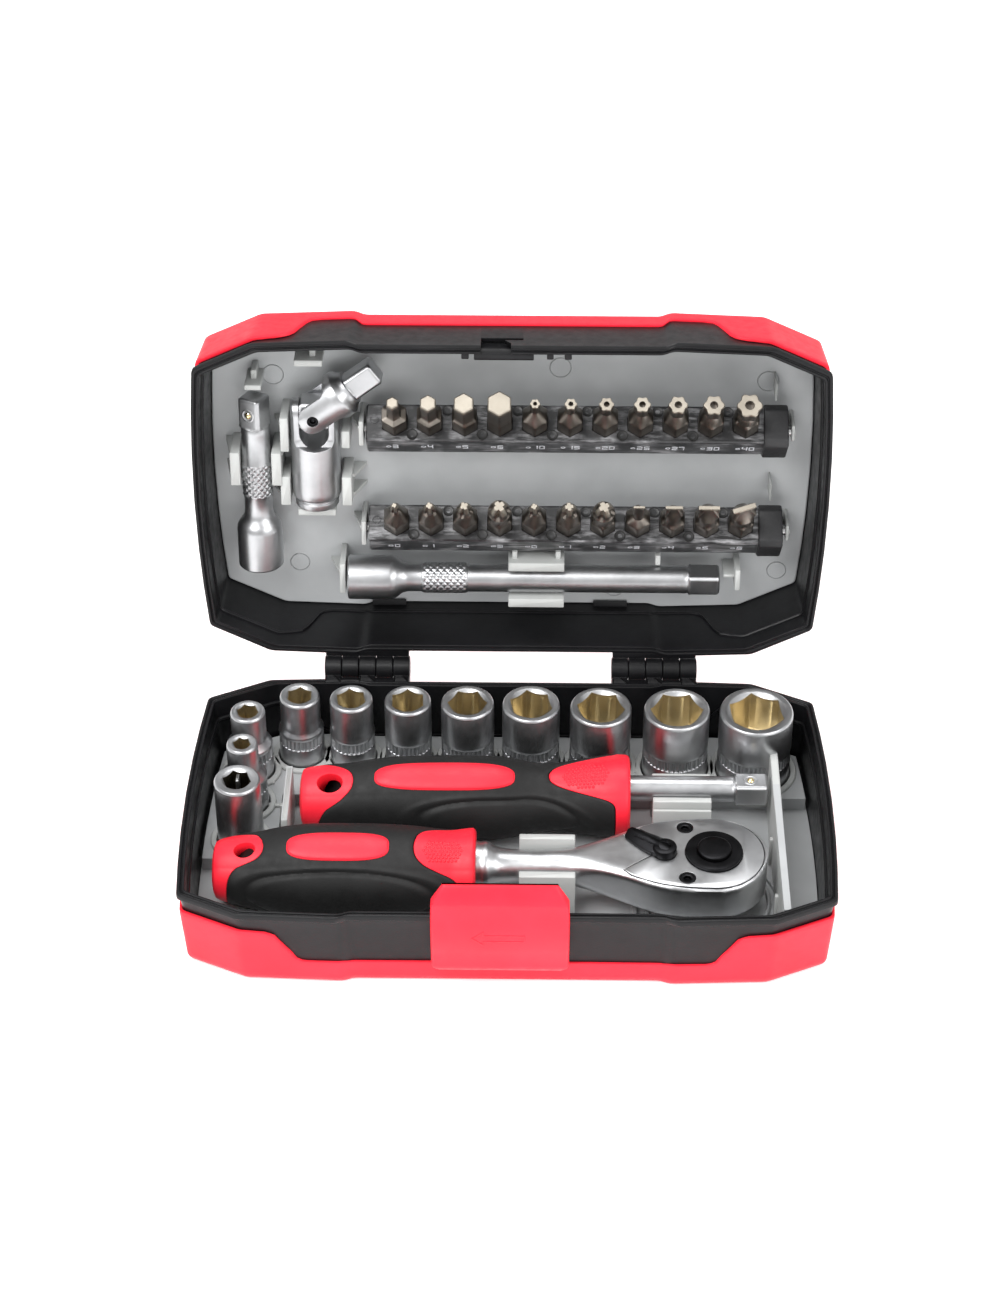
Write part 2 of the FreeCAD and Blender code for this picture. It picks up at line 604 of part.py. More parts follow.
def make_ratchet():
    """Along X with its square drive down; Z 0 is the middle of the head's thickness."""
    place = base_at(0, "ratchet_back", "ratchet_z")
    half = "head_thick / 2"
    plate_thick = 1.5
    floor_z = "-%s + 2" % half
    tang = cylinder(4, "ratchet_grip_right - ratchet_grip_left - 14",
                    ("ratchet_grip_left + 14", 0, 0), "X")
    neck = cylinder("shank_radius", "head_x - 26 - ratchet_grip_right",
                    ("ratchet_grip_right", 0, 0), "X")
    head = head_plate_outline("-%s" % half, dim("head_thick"), 0)
    gear_room = cylinder("gear_radius + 0.4", 60, ("head_x", 0, floor_z))
    pawl_room = box(7.2, 11, 60, ("lever_x + 3.1", 0, floor_z))
    spindle_hole = cylinder(1.7, 60, ("lever_x", 0, floor_z))
    plate_zone = box(60, 60, 60, ("head_x + 8.6", 0, -30))
    recess = common(head_plate_outline("%s - %g" % (half, plate_thick), 25, 0.6), plate_zone)
    spindle_room = cylinder("gear_radius - 1.6", 60, ("head_x", 0, -30))
    screw_xy = [("head_x - 7.0", y) for y in ("-9.2", "9.2")]
    screw_holes = [cylinder(0.9, 60, (x, y, "%s - 5" % half)) for x, y in screw_xy]
    node("ratchet_body", cut(fuse(tang, neck, head), gear_room, pawl_room, spindle_hole, recess,
                             spindle_room, *screw_holes), place)

    cover_zone = box(60, 60, 60, ("head_x + 8.7", 0, -30))
    cover = common(head_plate_outline("%s - %g" % (half, plate_thick), plate_thick, 0.7), cover_zone)
    lever_bore = cylinder(1.55, 60, ("lever_x", 0, -30))
    disc_bore = cylinder("disc_radius + 0.1", 60, ("head_x", 0, -30))
    cover_holes = [cylinder(1.5, 60, (x, y, 0)) for x, y in screw_xy]
    node("ratchet_cover", cut(cover, lever_bore, disc_bore, *cover_holes), place)
    screws = [cut(fuse(cylinder(0.9, 4, (x, y, "%s - 5" % half)),
                       cylinder(1.45, 1.4, (x, y, "%s - 1.4" % half))),
                  hexagon(1.3, 2, (x, y, "%s - 0.9" % half))) for x, y in screw_xy]
    node("cover_screws", group(*screws), place)
    grip("ratchet", "ratchet_grip_left", "ratchet_grip_right", "ratchet_grip_radius", place, 6.5)

    gear_z = dim(floor_z) + 0.2
    wheel = toothed_wheel(dim("gear_radius"), 36, 5.2, gear_z)
    disc = cylinder("disc_radius", "%s + 0.8 - (%g)" % (half, gear_z + 5),
                    ("head_x", 0, gear_z + 5))
    collar = cylinder("gear_radius - 1.7", "%s + 0.8" % gear_z + " + head_thick / 2",
                      ("head_x", 0, "-%s - 0.6" % half))
    drive = box("square", "square", "square_length - 1.5", ("head_x", 0, "-%s - 7" % half))
    button_well = cylinder("button_radius + 0.1", 60, ("head_x", 0, "%s - 2.6" % half))
    stem_bore = cylinder(1.6, 60, ("head_x", 0, "-%s - 5" % half))
    ball_seat = ball(1.25, ("head_x", "-square / 2 + 0.75", "-%s - 3.6" % half))
    node("drive_gear", cut(fuse(wheel, disc, collar, drive), button_well, stem_bore, ball_seat),
         place)
    node("drive_ball", group(ball(1.2, ("head_x", "-square / 2 + 0.75", "-%s - 3.6" % half))),
         place)
    ring = cut(cylinder("disc_radius - 0.6", 0.5, ("head_x", 0, "%s + 0.8" % half)),
               cylinder("disc_radius - 1.5", 2, ("head_x", 0, "%s" % half)))
    node("gear_ring", ring, place)
    coil = cut(cylinder(2.9, 1.5, ("head_x", 0, "%s - 2.6" % half)),
               cylinder(1.9, 4, ("head_x", 0, "%s - 4" % half)))
    node("button_spring", coil, place)
    button = fuse(cylinder("button_radius", 3.1, ("head_x", 0, "%s - 1.0" % half)),
                  cylinder(1.5, "head_thick - 0.5", ("head_x", 0, "-%s" % half)))
    node("release_button", button, place)

    top = "%s + 0.1" % half
    hub = cylinder(3.0, 2.2, ("lever_x", 0, top))
    handle = primitive("Wedge", ("lever_x - 10.5", -2.0, top), Xmin=0, Xmax=10.5, Ymin=0, Ymax=4,
                       Zmin=0, Zmax=2.6, X2min=0, X2max=10.5, Z2min=0, Z2max=1.6)
    spindle = cylinder(1.5, "head_thick - 2.4", ("lever_x", 0, "-%s + 2.6" % half))
    plunger_hole = cylinder(0.62, 2.6, ("lever_x - 0.8", 0, 0), "X")
    turn = Rotation(Z_AXIS, -dim("lever_rest"))
    centre = Vector(dim("lever_x"), 0, 0)
    swung = placed(fuse(hub, handle), Placement(centre - turn.multVec(centre), turn))
    node("reversing_lever", cut(fuse(swung, spindle), plunger_hole), place)
    node("lever_plunger", group(cylinder(0.55, 1.2, ("lever_x + 0.6", 0, 0), "X")), place)
    node("lever_spring", group(cylinder(0.5, 1.2, ("lever_x - 0.7", 0, 0), "X")), place)
    pawl_turn = Rotation(Z_AXIS, -dim("pawl_rest"))
    pawl_at = Placement(Vector(dim("lever_x + 3.4"), 0, 0), pawl_turn)
    pawl = common(box(2.2, 8.4, 4.8, (0, 0, "%s + 0.3" % floor_z)), cylinder(4.3, 20, (0, 0, -10)))
    node("pawl", placed(pawl, pawl_at), place)


# --- driver ------------------------------------------------------------------------------

def make_driver():
    place = base_at(0, "driver_back", "driver_z")
    grip("driver", "driver_grip_left", "driver_grip_right", "driver_grip_radius", place, 6.5)
    tang = cylinder(4, "driver_grip_right - driver_grip_left - 14",
                    ("driver_grip_left + 14", 0, 0), "X")
    rod = cylinder("driver_shaft_radius", "driver_shaft_end - driver_grip_right",
                   ("driver_grip_right", 0, 0), "X")
    drive = square_drive("driver_shaft_end")
    seat = ball(1.25, ("driver_shaft_end + 4", 0, "square / 2 - 0.75"))
    node("driver_shaft", cut(fuse(tang, rod, drive), seat), place)
    node("driver_ball", group(ball(1.2, ("driver_shaft_end + 4", 0, "square / 2 - 0.75"))), place)


def square_drive(start):
    """A square along X with its corners rounded off."""
    block = box("square_length", "square", "square",
                ("%s + square_length / 2" % start, 0, "-square / 2"))
    return common(block, cylinder("square * 0.66", "square_length", (start, 0, 0), "X"))


# --- extensions and universal joint ------------------------------------------------------

def make_bar(label, length, placement):
    """A bar along X: a female square in its thick end and a male square at the other."""
    body = turned([(0, 0), ("bar_end_radius - 0.5", 0), ("bar_end_radius", 0.5),
                   ("bar_end_radius", "bar_end_length - 2"), ("bar_radius", "bar_end_length + 1"),
                   ("bar_radius", "%s - square_length" % length),
                   (0, "%s - square_length" % length)], "X")
    drive = square_drive("%s - square_length" % length)
    female = box("drive_depth", "square_hole", "square_hole",
                 ("drive_depth / 2", 0, "-square_hole / 2"))
    at = ("%s - 4.5" % length, 0, "square / 2 - 0.75")
    node(label, cut(fuse(body, drive), female, ball(1.25, at)), placement)
    node(label + "_ball", group(ball(1.2, at)), placement)


def make_universal_joint():
    """Along Y from its pivot: the socket yoke behind it, the drive yoke bent to the right."""
    place = lid_at("joint_x", "joint_back", "bar_deep")
    eye, throat = 3.6, 8.0
    barrel = fuse(cylinder("joint_radius", "joint_socket - 8", (0, "-joint_socket", 0), "Y"),
                  cylinder("joint_radius - 0.1", "8 + %g" % eye, (0, -8, 0), "Y"))
    slot = box("2 * joint_gap", 30, 40, (0, "15 - %g" % throat, -20))
    flank = [box(40, 20, 20, (0, 10 - throat, z)) for z in ("joint_gap - 0.8", "-joint_gap - 19.2")]
    female = box("square_hole", "drive_depth", "square_hole",
                 (0, "drive_depth / 2 - joint_socket", "-square_hole / 2"))
    pin_hole = cylinder(1.45, 40, (-20, 0, 0), "X")
    node("joint_socket_yoke", cut(barrel, slot, female, pin_hole, *flank), place)

    cube = common(box("2 * joint_gap - 0.4", "2 * joint_gap - 0.4", "2 * joint_gap - 0.4",
                      (0, 0, "0.2 - joint_gap")),
                  cylinder("joint_gap + 0.9", 20, (0, 0, -10)),
                  cylinder("joint_gap + 0.9", 20, (-10, 0, 0), "X"))
    long_bore = cylinder(1.4, 40, (-20, 0, 0), "X")
    cross_bore = cylinder(1.4, 40, (0, 0, -20))
    bend = place * Placement(Vector(), Rotation(Z_AXIS, -dim("joint_bend")))
    node("joint_cross", cut(cube, long_bore, cross_bore), place)
    cross_pin = cut(cylinder(1.4, "2 * joint_radius - 1", ("0.5 - joint_radius", 0, 0), "X"),
                    cylinder(0.6, 20, (0, 0, -10)))
    short_pins = [cylinder(1.4, "joint_radius - 1.9", (0, 0, z))
                  for z in ("1.5", "-joint_radius + 0.4")]
    node("joint_pins", group(cross_pin, *short_pins), place)

    base = 7.9
    taper = cone("joint_radius - 0.2", 4.6, 2.2, (0, base + 2, 0), "Y")
    root = cylinder("joint_radius - 0.2", 2.0, (0, base, 0), "Y")
    drive = common(box("square", 8.5, "square", (0, base + 4.2 + 4.2, "-square / 2")),
                   cylinder("square * 0.66", 8.5, (0, base + 4.15, 0), "Y"))
    ears = []
    for z in ("joint_gap + 0.1", "-joint_radius + 0.2"):
        thick = "joint_radius - joint_gap - 0.3"
        ears.append(fuse(cylinder(3.8, thick, (0, 0, z)),
                         box(7.6, "%g" % (base + 1), thick, (0, (base + 1) / 2, z))))
    eyes = fuse(*ears)
    trimmed = common(eyes, cylinder("joint_radius + 0.6", 40, (0, -20, 0), "Y"))
    ball_at = (0, base + 8, "square / 2 - 0.75")
    node("joint_drive_yoke", cut(fuse(taper, root, drive, trimmed), cylinder(1.45, 40, (0, 0, -20)),
                                 ball(1.25, ball_at)), bend)
    node("joint_ball", group(ball(1.2, ball_at)), bend)


def make_all():
    make_base_case()
    make_lid_case()
    make_latch()
    make_base_tray()
    make_lid_tray()
    make_bits()
    for socket in SOCKETS:
        make_socket(*socket)
    make_adapter()
    make_ratchet()
    make_driver()
    make_bar("extension_50", "short_bar",
             lid_at("short_bar_x", "short_bar_back", "bar_deep", Rotation(Z_AXIS, 90)))
    make_bar("extension_100", "long_bar", lid_at("long_bar_x", "long_bar_back", "bar_deep"))
    make_universal_joint()


def check_and_export():
    """Stop on any failed object or bad shape, then write one STEP file for each sub-part."""
    doc.recompute()
    for item in doc.Objects:
        if "Invalid" in item.State or "Error" in item.State:
            raise RuntimeError("%s (%s) failed: %s" % (item.Name, item.Label, item.State))
    os.makedirs("parts", exist_ok=True)
    for piece in nodes:
        if piece.Shape.isNull() or not piece.Shape.isValid():
            raise RuntimeError("%s has a bad shape" % piece.Label)
    for piece in nodes:
        piece.Shape.exportStep("parts/%s.step" % piece.Label)
        box_size = piece.Shape.BoundBox
        print("%-22s solids %2d  volume %9.1f  size %6.1f %6.1f %6.1f" % (
            piece.Label, len(piece.Shape.Solids), piece.Shape.Volume,
            box_size.XLength, box_size.YLength, box_size.ZLength))


make_all()
check_and_export()
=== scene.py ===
import json
import math

import bmesh
import bpy
from mathutils import Matrix, Vector


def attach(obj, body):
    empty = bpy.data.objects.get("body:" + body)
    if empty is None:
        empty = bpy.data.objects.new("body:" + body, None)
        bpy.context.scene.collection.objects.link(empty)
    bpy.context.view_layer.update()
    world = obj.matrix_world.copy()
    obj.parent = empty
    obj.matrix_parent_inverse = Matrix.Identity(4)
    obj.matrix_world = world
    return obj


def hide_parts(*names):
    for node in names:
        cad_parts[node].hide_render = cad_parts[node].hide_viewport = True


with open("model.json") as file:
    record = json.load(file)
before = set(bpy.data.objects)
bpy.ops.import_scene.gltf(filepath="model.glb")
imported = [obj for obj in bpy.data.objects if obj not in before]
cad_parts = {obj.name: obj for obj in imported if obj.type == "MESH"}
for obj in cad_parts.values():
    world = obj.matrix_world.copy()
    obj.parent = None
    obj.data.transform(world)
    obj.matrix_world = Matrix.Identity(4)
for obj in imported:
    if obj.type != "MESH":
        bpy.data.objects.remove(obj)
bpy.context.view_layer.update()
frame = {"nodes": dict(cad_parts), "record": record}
record = frame["record"]


def shift(x, y, z):
    return Matrix.Translation((x, y, z))


def turn(degrees, axis):
    return Matrix.Rotation(math.radians(degrees), 4, axis)


# Lengths are in millimetres, and lie in a local frame until a piece is made. The base's frame
# is the shared one; the lid's has its rim at z = 0 and its hinge at -Y.
HALF_DEPTH, CASE_HEIGHT = 45.75, 24.0
HINGE_BACK, HINGE_RISE = 5.0, 0.33
MM = 0.001
BASE = Matrix.Identity(4)
LID = (shift(0, HALF_DEPTH + HINGE_BACK, CASE_HEIGHT + HINGE_RISE) @ turn(82.5, "X")
       @ shift(0, HINGE_BACK + HALF_DEPTH, HINGE_RISE))


# --- materials ---------------------------------------------------------------------------

class Graph:
    """A short way to write a procedural material's nodes."""

    def __init__(self, name, **values):
        self.material = bpy.data.materials.new(name)
        self.material.use_nodes = True
        self.tree = self.material.node_tree
        self.shader = self.tree.nodes["Principled BSDF"]
        self.fill(self.shader, {key.replace("_", " "): value for key, value in values.items()})
        self.coords = self.node("TexCoord", {}, "Object")

    def fill(self, node, inputs):
        """Each input is linked to a socket or set to a value."""
        for key, source in inputs.items():
            if hasattr(source, "links"):
                self.tree.links.new(source, node.inputs[key])
            else:
                node.inputs[key].default_value = source

    def node(self, kind, inputs, output=0, **settings):
        """A new node's output."""
        node = self.tree.nodes.new("ShaderNode" + kind)
        for key, value in settings.items():
            setattr(node, key, value)
        self.fill(node, inputs)
        return node.outputs[output]

    def noise(self, scale, detail, vector=None, roughness=0.55):
        return self.node("TexNoise", {"Vector": vector or self.coords, "Scale": scale,
                                      "Detail": detail, "Roughness": roughness}, "Fac")

    def math(self, kind, a, b, clamp=False):
        return self.node("Math", {0: a, 1: b}, operation=kind, use_clamp=clamp)

    def span(self, source, low, high, to_low=0.0, to_high=1.0):
        return self.node("MapRange", {"Value": source, "From Min": low, "From Max": high,
                                      "To Min": to_low, "To Max": to_high}, "Result")

    def mix(self, factor, a, b):
        """Between two colours, which are inputs 6 and 7 of the node; the result is output 2."""
        return self.node("Mix", {0: factor, 6: (*a, 1), 7: (*b, 1)}, 2, data_type="RGBA")

    def finish(self, colour, roughness, height, strength, distance, edge):
        """The material, with relief from a height and edges softened by a radius, in metres."""
        soft = self.node("Bevel", {"Radius": edge}, "Normal", samples=4)
        relief = self.node("Bump", {"Height": height, "Strength": strength, "Distance": distance,
                                    "Normal": soft}, "Normal")
        self.fill(self.shader, {"Base Color": colour, "Roughness": roughness, "Normal": relief})
        return self.material


def plastic(name, dark, light, rough, shine=0.5, grain=1800, depth=0.00004):
    """Moulded plastic: slight cloudiness, a fine grain and softened edges."""
    g = Graph(name, Specular_IOR_Level=shine)
    return g.finish(g.mix(g.span(g.noise(60, 3), 0.3, 0.7), dark, light),
                    g.span(g.noise(420, 2), 0.3, 0.7, rough - 0.05, rough + 0.07),
                    g.noise(grain, 2), 0.5, depth, 0.00025)


def metal(name, dark, light, rough):
    """Plated or polished metal with faint smears and a fine grain."""
    g = Graph(name, Metallic=1.0)
    smear, grain = g.noise(160, 4), g.noise(900, 3)
    return g.finish(g.mix(g.span(smear, 0.3, 0.75), dark, light),
                    g.span(g.math("ADD", smear, grain), 0.6, 1.4, rough - 0.04, rough + 0.064),
                    grain, 0.25, 0.00002, 0.0002)


def scuffs_and_sheen(name, dark, pale, rough):
    """Black moulding with pale streaks, mostly along its length: partly rubbed scuffs and partly painted highlight."""
    g = Graph(name)
    along = g.node("Mapping", {"Vector": g.coords, "Scale": (0.28, 1.6, 1.6),
                               "Rotation": (0.1, 0.1, 0.25)})
    patch, streaks = g.noise(150, 3), g.noise(420, 5, along, 0.7)
    scuff_and_sheen_mask = g.math("MULTIPLY", g.span(patch, 0.38, 0.62), g.span(streaks, 0.44, 0.64), True)
    return g.finish(g.mix(g.math("MULTIPLY", scuff_and_sheen_mask, 0.8), dark, pale),
                    g.span(scuff_and_sheen_mask, 0, 1, rough, rough + 0.25), streaks, 0.5, 0.00006, 0.00025)


# The kind, the name, two colours, the roughness, and for plastics the shine and the grain.
MATERIALS = {name: kind(name, *values) for kind, name, *values in (
    (plastic, "case_black", (0.004, 0.004, 0.0045), (0.007, 0.007, 0.008), 0.345, 0.22),
    (plastic, "case_red", (0.76, 0.014, 0.030), (0.84, 0.020, 0.040), 0.38, 0.22),
    (plastic, "tray_grey", (0.33, 0.34, 0.345), (0.39, 0.40, 0.405), 0.42),
    # The clips', collars' and fences' grey is the tray's grey painted lighter: painted light on the raised parts.
    (plastic, "clip_grey", (0.37, 0.38, 0.37), (0.44, 0.45, 0.44), 0.4),
    (metal, "plain_steel", (0.42, 0.42, 0.42), (0.55, 0.55, 0.55), 0.34),
    # The rail's pale streaks are partly rubbed scuffs and partly painted highlight.
    (scuffs_and_sheen, "rail_black", (0.010, 0.010, 0.011), (0.34, 0.34, 0.35), 0.3),
    # The dimples' black is the rail's black painted darker: painted shade in the sunk dishes.
    (plastic, "dimple_black", (0.004, 0.004, 0.004), (0.008, 0.008, 0.008), 0.36),
    (plastic, "block_black", (0.008, 0.008, 0.009), (0.014, 0.014, 0.015), 0.55, 0.5, 900, 0.00012),
    (metal, "bit_steel", (0.15, 0.135, 0.118), (0.24, 0.215, 0.19), 0.36),
    (metal, "bit_face", (0.31, 0.28, 0.235), (0.40, 0.365, 0.31), 0.46),
    (metal, "satin_chrome", (0.43, 0.435, 0.445), (0.53, 0.535, 0.545), 0.335),
    (metal, "polished_chrome", (0.46, 0.465, 0.475), (0.56, 0.565, 0.575), 0.33),
    (metal, "black_steel", (0.012, 0.012, 0.013), (0.026, 0.026, 0.028), 0.34),
    (plastic, "grip_red", (0.76, 0.014, 0.030), (0.84, 0.020, 0.040), 0.42, 0.3),
    (plastic, "grip_black", (0.006, 0.006, 0.006), (0.011, 0.011, 0.011), 0.6, 0.3, 2600, 0.00006),
    (metal, "ball_brass", (0.75, 0.6, 0.32), (0.85, 0.7, 0.42), 0.15),
    (plastic, "mark_white", (0.52, 0.53, 0.56), (0.66, 0.67, 0.70), 0.5),
    (metal, "socket_inside", (0.60, 0.52, 0.36), (0.76, 0.68, 0.50), 0.345),
    (metal, "adapter_inside", (0.12, 0.10, 0.065), (0.20, 0.17, 0.12), 0.35),
)}
# A piece's slot is its first material's own name, or for these another one.
OTHER_SLOTS = {"clip_grey": "tray_grey", "dimple_black": "rail_black", "block_black": "case_black",
               "polished_chrome": "satin_chrome", "mark_white": None}
for entry in record["subparts"]:
    mesh = frame["nodes"][entry["node"]].data
    mesh.materials.clear()
    mesh.materials.append(MATERIALS[entry["material_slot"]])


# --- shapes ------------------------------------------------------------------------------

def smooth(x):
    x = min(1.0, max(0.0, x))
    return x * x * (3 - 2 * x)


def lerp(table, x, ease=float):
    """Interpolation in a table of (x, value), straight or eased between its rows."""
    for (x0, v0), (x1, v1) in zip(table, table[1:]):
        if x <= x1:
            return v0 + (v1 - v0) * ease(max(0.0, (x - x0) / (x1 - x0)))
    return table[-1][1]


def curve(table, x):
    """Catmull-Rom interpolation in a table of (x, value)."""
    if x <= table[0][0]:
        return table[0][1]
    for k, ((x1, v1), (x2, v2)) in enumerate(zip(table, table[1:])):
        if x < x2:
            x0, v0 = table[k - 1] if k else (2 * x1 - x2, v1)
            x3, v3 = table[k + 2] if k + 2 < len(table) else (2 * x2 - x1, v2)
            t = (x - x1) / (x2 - x1)
            m1 = (v2 - v0) / (x2 - x0) * (x2 - x1)
            m2 = (v3 - v1) / (x3 - x1) * (x2 - x1)
            return ((2 * t**3 - 3 * t**2 + 1) * v1 + (t**3 - 2 * t**2 + t) * m1
                    + (-2 * t**3 + 3 * t**2) * v2 + (t**3 - t**2) * m2)
    return table[-1][1]


class Shape:
    """Points in millimetres, and faces with a material index each."""

    def __init__(self):
        self.points, self.faces, self.slots = [], [], []

    def add(self, points, faces, slots):
        first = len(self.points)
        self.points.extend(Vector(point) for point in points)
        self.faces.extend(tuple(first + index for index in face) for face in faces)
        self.slots.extend(slots)
        return self

    def skin(self, rings, slot=0, loop=False):
        """A closed skin over rings of equal count; slot may be a list, one per band."""
        count, bands = len(rings[0]), len(rings) - (0 if loop else 1)
        slots = slot if isinstance(slot, list) else [slot] * bands
        faces, marks = [], []
        for band in range(bands):
            a, b = band * count, (band + 1) % len(rings) * count
            for i in range(count):
                j = (i + 1) % count
                faces.append((a + i, a + j, b + j, b + i))
                marks.append(slots[band])
        if not loop:
            last = (len(rings) - 1) * count
            faces += [tuple(range(count - 1, -1, -1)), tuple(range(last, last + count))]
            marks += [slots[0], slots[-1]]
        return self.add([point for ring in rings for point in ring], faces, marks)

    def merge(self, other, place=BASE):
        return self.add([place @ point for point in other.points], other.faces, other.slots)

    def placed(self, place):
        self.points = [place @ point for point in self.points]
        return self


def ring(reach, z, steps=72):
    """Points about Z. The reach may depend on the angle, and z on the reach."""
    points = []
    for i in range(steps):
        angle = i * math.tau / steps
        far = reach(angle) if callable(reach) else reach
        points.append(Vector((far * math.cos(angle), far * math.sin(angle), z(far) if callable(z) else z)))
    return points


def lathe(profile, steps=40, loop=False):
    """A solid of revolution about Z from a profile of (radius, z)."""
    return Shape().skin([ring(radius, z, steps) for radius, z in profile], loop=loop)


def polygon(sides, flat):
    """How far a regular polygon reaches at an angle, from its flat's distance."""
    part = math.tau / sides
    return lambda angle: flat / math.cos((angle + part / 2) % part - part / 2)


def squircle(half_a, half_b, power, steps, turned=0.0):
    """Points between an ellipse (power 2) and a rectangle (high power)."""
    points = []
    for i in range(steps):
        angle = i * math.tau / steps
        reach = (abs(math.cos(angle) / half_a) ** power + abs(math.sin(angle) / half_b) ** power) ** (-1 / power)
        points.append((reach * math.cos(angle + turned), reach * math.sin(angle + turned)))
    return points


def corners(outline):
    """Each point of a closed outline, with its neighbours."""
    points = [Vector(point[:2]) for point in outline]
    return zip(points[-1:] + points[:-1], points, points[1:] + points[:1])


def offset(outline, distance):
    """A closed outline moved inwards, for points that run counterclockwise."""
    result = []
    for a, b, c in corners(outline):
        n1 = Vector((a.y - b.y, b.x - a.x)).normalized()
        n2 = Vector((b.y - c.y, c.x - b.x)).normalized()
        push = (n1 + n2) * (distance / max(0.3, 1 + n1.dot(n2)))
        result.append((b.x + push.x, b.y + push.y))
    return result


def rounded(outline, size, steps=4):
    """Corners cut back by size and rounded."""
    result = []
    for a, b, c in corners(outline):
        cut = min(size, (a - b).length * 0.45, (c - b).length * 0.45)
        p, q = b + (a - b).normalized() * cut, b + (c - b).normalized() * cut
        for k in range(steps + 1):
            t = k / steps
            result.append(tuple(p * (1 - t) ** 2 + b * 2 * t * (1 - t) + q * t * t))
    return result


def stack(outline, levels, axis="z", slot=0, loop=False):
    """A skin over an outline at (distance, inset) levels along an axis."""
    place = {"x": lambda a, b, d: (d, a, b), "y": lambda a, b, d: (a, d, b), "z": lambda a, b, d: (a, b, d)}[axis]
    return Shape().skin([[place(*point, distance) for point in (offset(outline, inset) if inset else outline)]
                         for distance, inset in levels], slot, loop)


def prism(outline, low, high, edge, foot=0.0):
    """An upright prism with its upper (and, with foot, its lower) edges rounded."""
    levels = [(low, foot), (low + foot * 0.3, foot * 0.3), (low + foot, 0)] if foot else [(low, 0)]
    return stack(outline, levels + [(high - edge, 0), (high - edge * 0.3, edge * 0.3), (high, edge)])


def block(x0, x1, y0, y1, z0, z1, corner=0.4, edge=0.25):
    return prism(rounded([(x0, y0), (x1, y0), (x1, y1), (x0, y1)], corner, 3), z0, z1, edge, edge)


def joined(shapes):
    """Several shapes as one."""
    whole = Shape()
    for shape in shapes:
        whole.merge(shape)
    return whole


def arc(x, y, radius, start, end, steps):
    return [(x + radius * math.cos(math.radians(start + (end - start) * i / steps)),
             y + radius * math.sin(math.radians(start + (end - start) * i / steps)))
            for i in range(steps + 1)]


def solid(name, shape, materials):
    """The Blender object of a shape."""
    mesh = bpy.data.meshes.new(name)
    mesh.from_pydata(shape.points, [], shape.faces)
    mesh.polygons.foreach_set("material_index", shape.slots)
    for material in materials.split():
        mesh.materials.append(MATERIALS[material])
    work = bmesh.new()
    work.from_mesh(mesh)
    bmesh.ops.recalc_face_normals(work, faces=work.faces)
    work.to_mesh(mesh)
    work.free()
    item = bpy.data.objects.new(name, mesh)
    bpy.context.scene.collection.objects.link(item)
    return item


def make(name, shape, materials, body, place=BASE, angle=32, replaces=(), cutters=(), slot=None):
    """A piece that rides its body, with edges sharp from an angle and cutters taken out of it.

    A slot is worked out from its first material, unless one is given, but the piece is not given it.
    """
    piece = solid(name, shape, materials)
    for number, cutter in enumerate(cutters):
        tool = solid("%s_cut%d" % (name, number), cutter, materials)
        modifier = piece.modifiers.new("cut", "BOOLEAN")
        modifier.operation, modifier.solver, modifier.object = "DIFFERENCE", "EXACT", tool
        bpy.context.view_layer.update()
        result = bpy.data.meshes.new_from_object(piece.evaluated_get(bpy.context.evaluated_depsgraph_get()))
        piece.modifiers.clear()
        piece.data = result
        bpy.data.objects.remove(tool)
    mesh = piece.data
    mesh.name = name
    mesh.transform(Matrix.Scale(MM, 4) @ place)
    mesh.shade_smooth()
    mesh.set_sharp_from_angle(angle=math.radians(angle))
    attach(piece, body)
    first = materials.split()[0]
    slot = slot or OTHER_SLOTS.get(first, first)
    if replaces:
        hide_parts(*replaces)


# --- case --------------------------------------------------------------------------------

SIDE_X = 82.8
HALF_RIM = [(39.2, -45.48), (41.7, -46.57), (64.6, -45.75), (80.6, -37.95), (81.5, 37.75),
            (66.3, 44.75), (41.7, 45.75), (39.2, 44.66)]


def side_bow(y):
    """How the sides swell between their ends, to SIDE_X in the middle."""
    low, high = -37.95, 37.75
    return (80.6 * y * (y - high) / (low * (low - high)) + SIDE_X * (y - low) * (y - high) / (low * high)
            + 81.5 * y * (y - low) / (high * (high - low)))


def rim_points():
    """The rim's outline with the hinge at -Y, in short steps."""
    half = HALF_RIM[:4] + [(side_bow(y), y) for y in (-26, -14, 0, 14, 26)] + HALF_RIM[4:]
    loop = rounded(half + [(-x, y) for x, y in reversed(half)], 1.1, 3)
    points = []
    for (x0, y0), (x1, y1) in zip(loop, loop[1:] + loop[:1]):
        pieces = max(1, math.ceil(math.hypot(x1 - x0, y1 - y0) / 1.3))
        points += [(x0 + (x1 - x0) * k / pieces, y0 + (y1 - y0) * k / pieces) for k in range(pieces)]
    return points


RIM = rim_points()


def rim_ring(inset, z, facing):
    """The outline pulled in by inset; both inset and z may be lists with a value for each point."""
    insets, heights = (value if isinstance(value, list) else [value] * len(RIM) for value in (inset, z))
    return [Vector((x * (1 - i / SIDE_X), facing * y * (1 - i / HALF_DEPTH), h))
            for (x, y), h, i in zip(RIM, heights, insets)]


# The height of the coloured cover's edge below the rim, by the distance from the middle.
BASE_EDGE = [(0, -16.5), (39.4, -16.7), (41.7, -16.1), (51.0, -16.2), (52.6, -15.4), (54.4, -12.8),
             (56.2, -9.6), (57.8, -7.4), (60.0, -6.3), (65.6, -6.0), (90, -6.0)]
LID_EDGE = [(0, -16.3), (39.2, -16.2), (41.7, -17.8), (50.0, -17.8), (52.6, -17.3), (54.4, -15.4),
            (55.6, -12.0), (56.6, -9.2), (58.4, -7.2), (61.6, -6.3), (65.4, -5.6), (90, -5.5)]
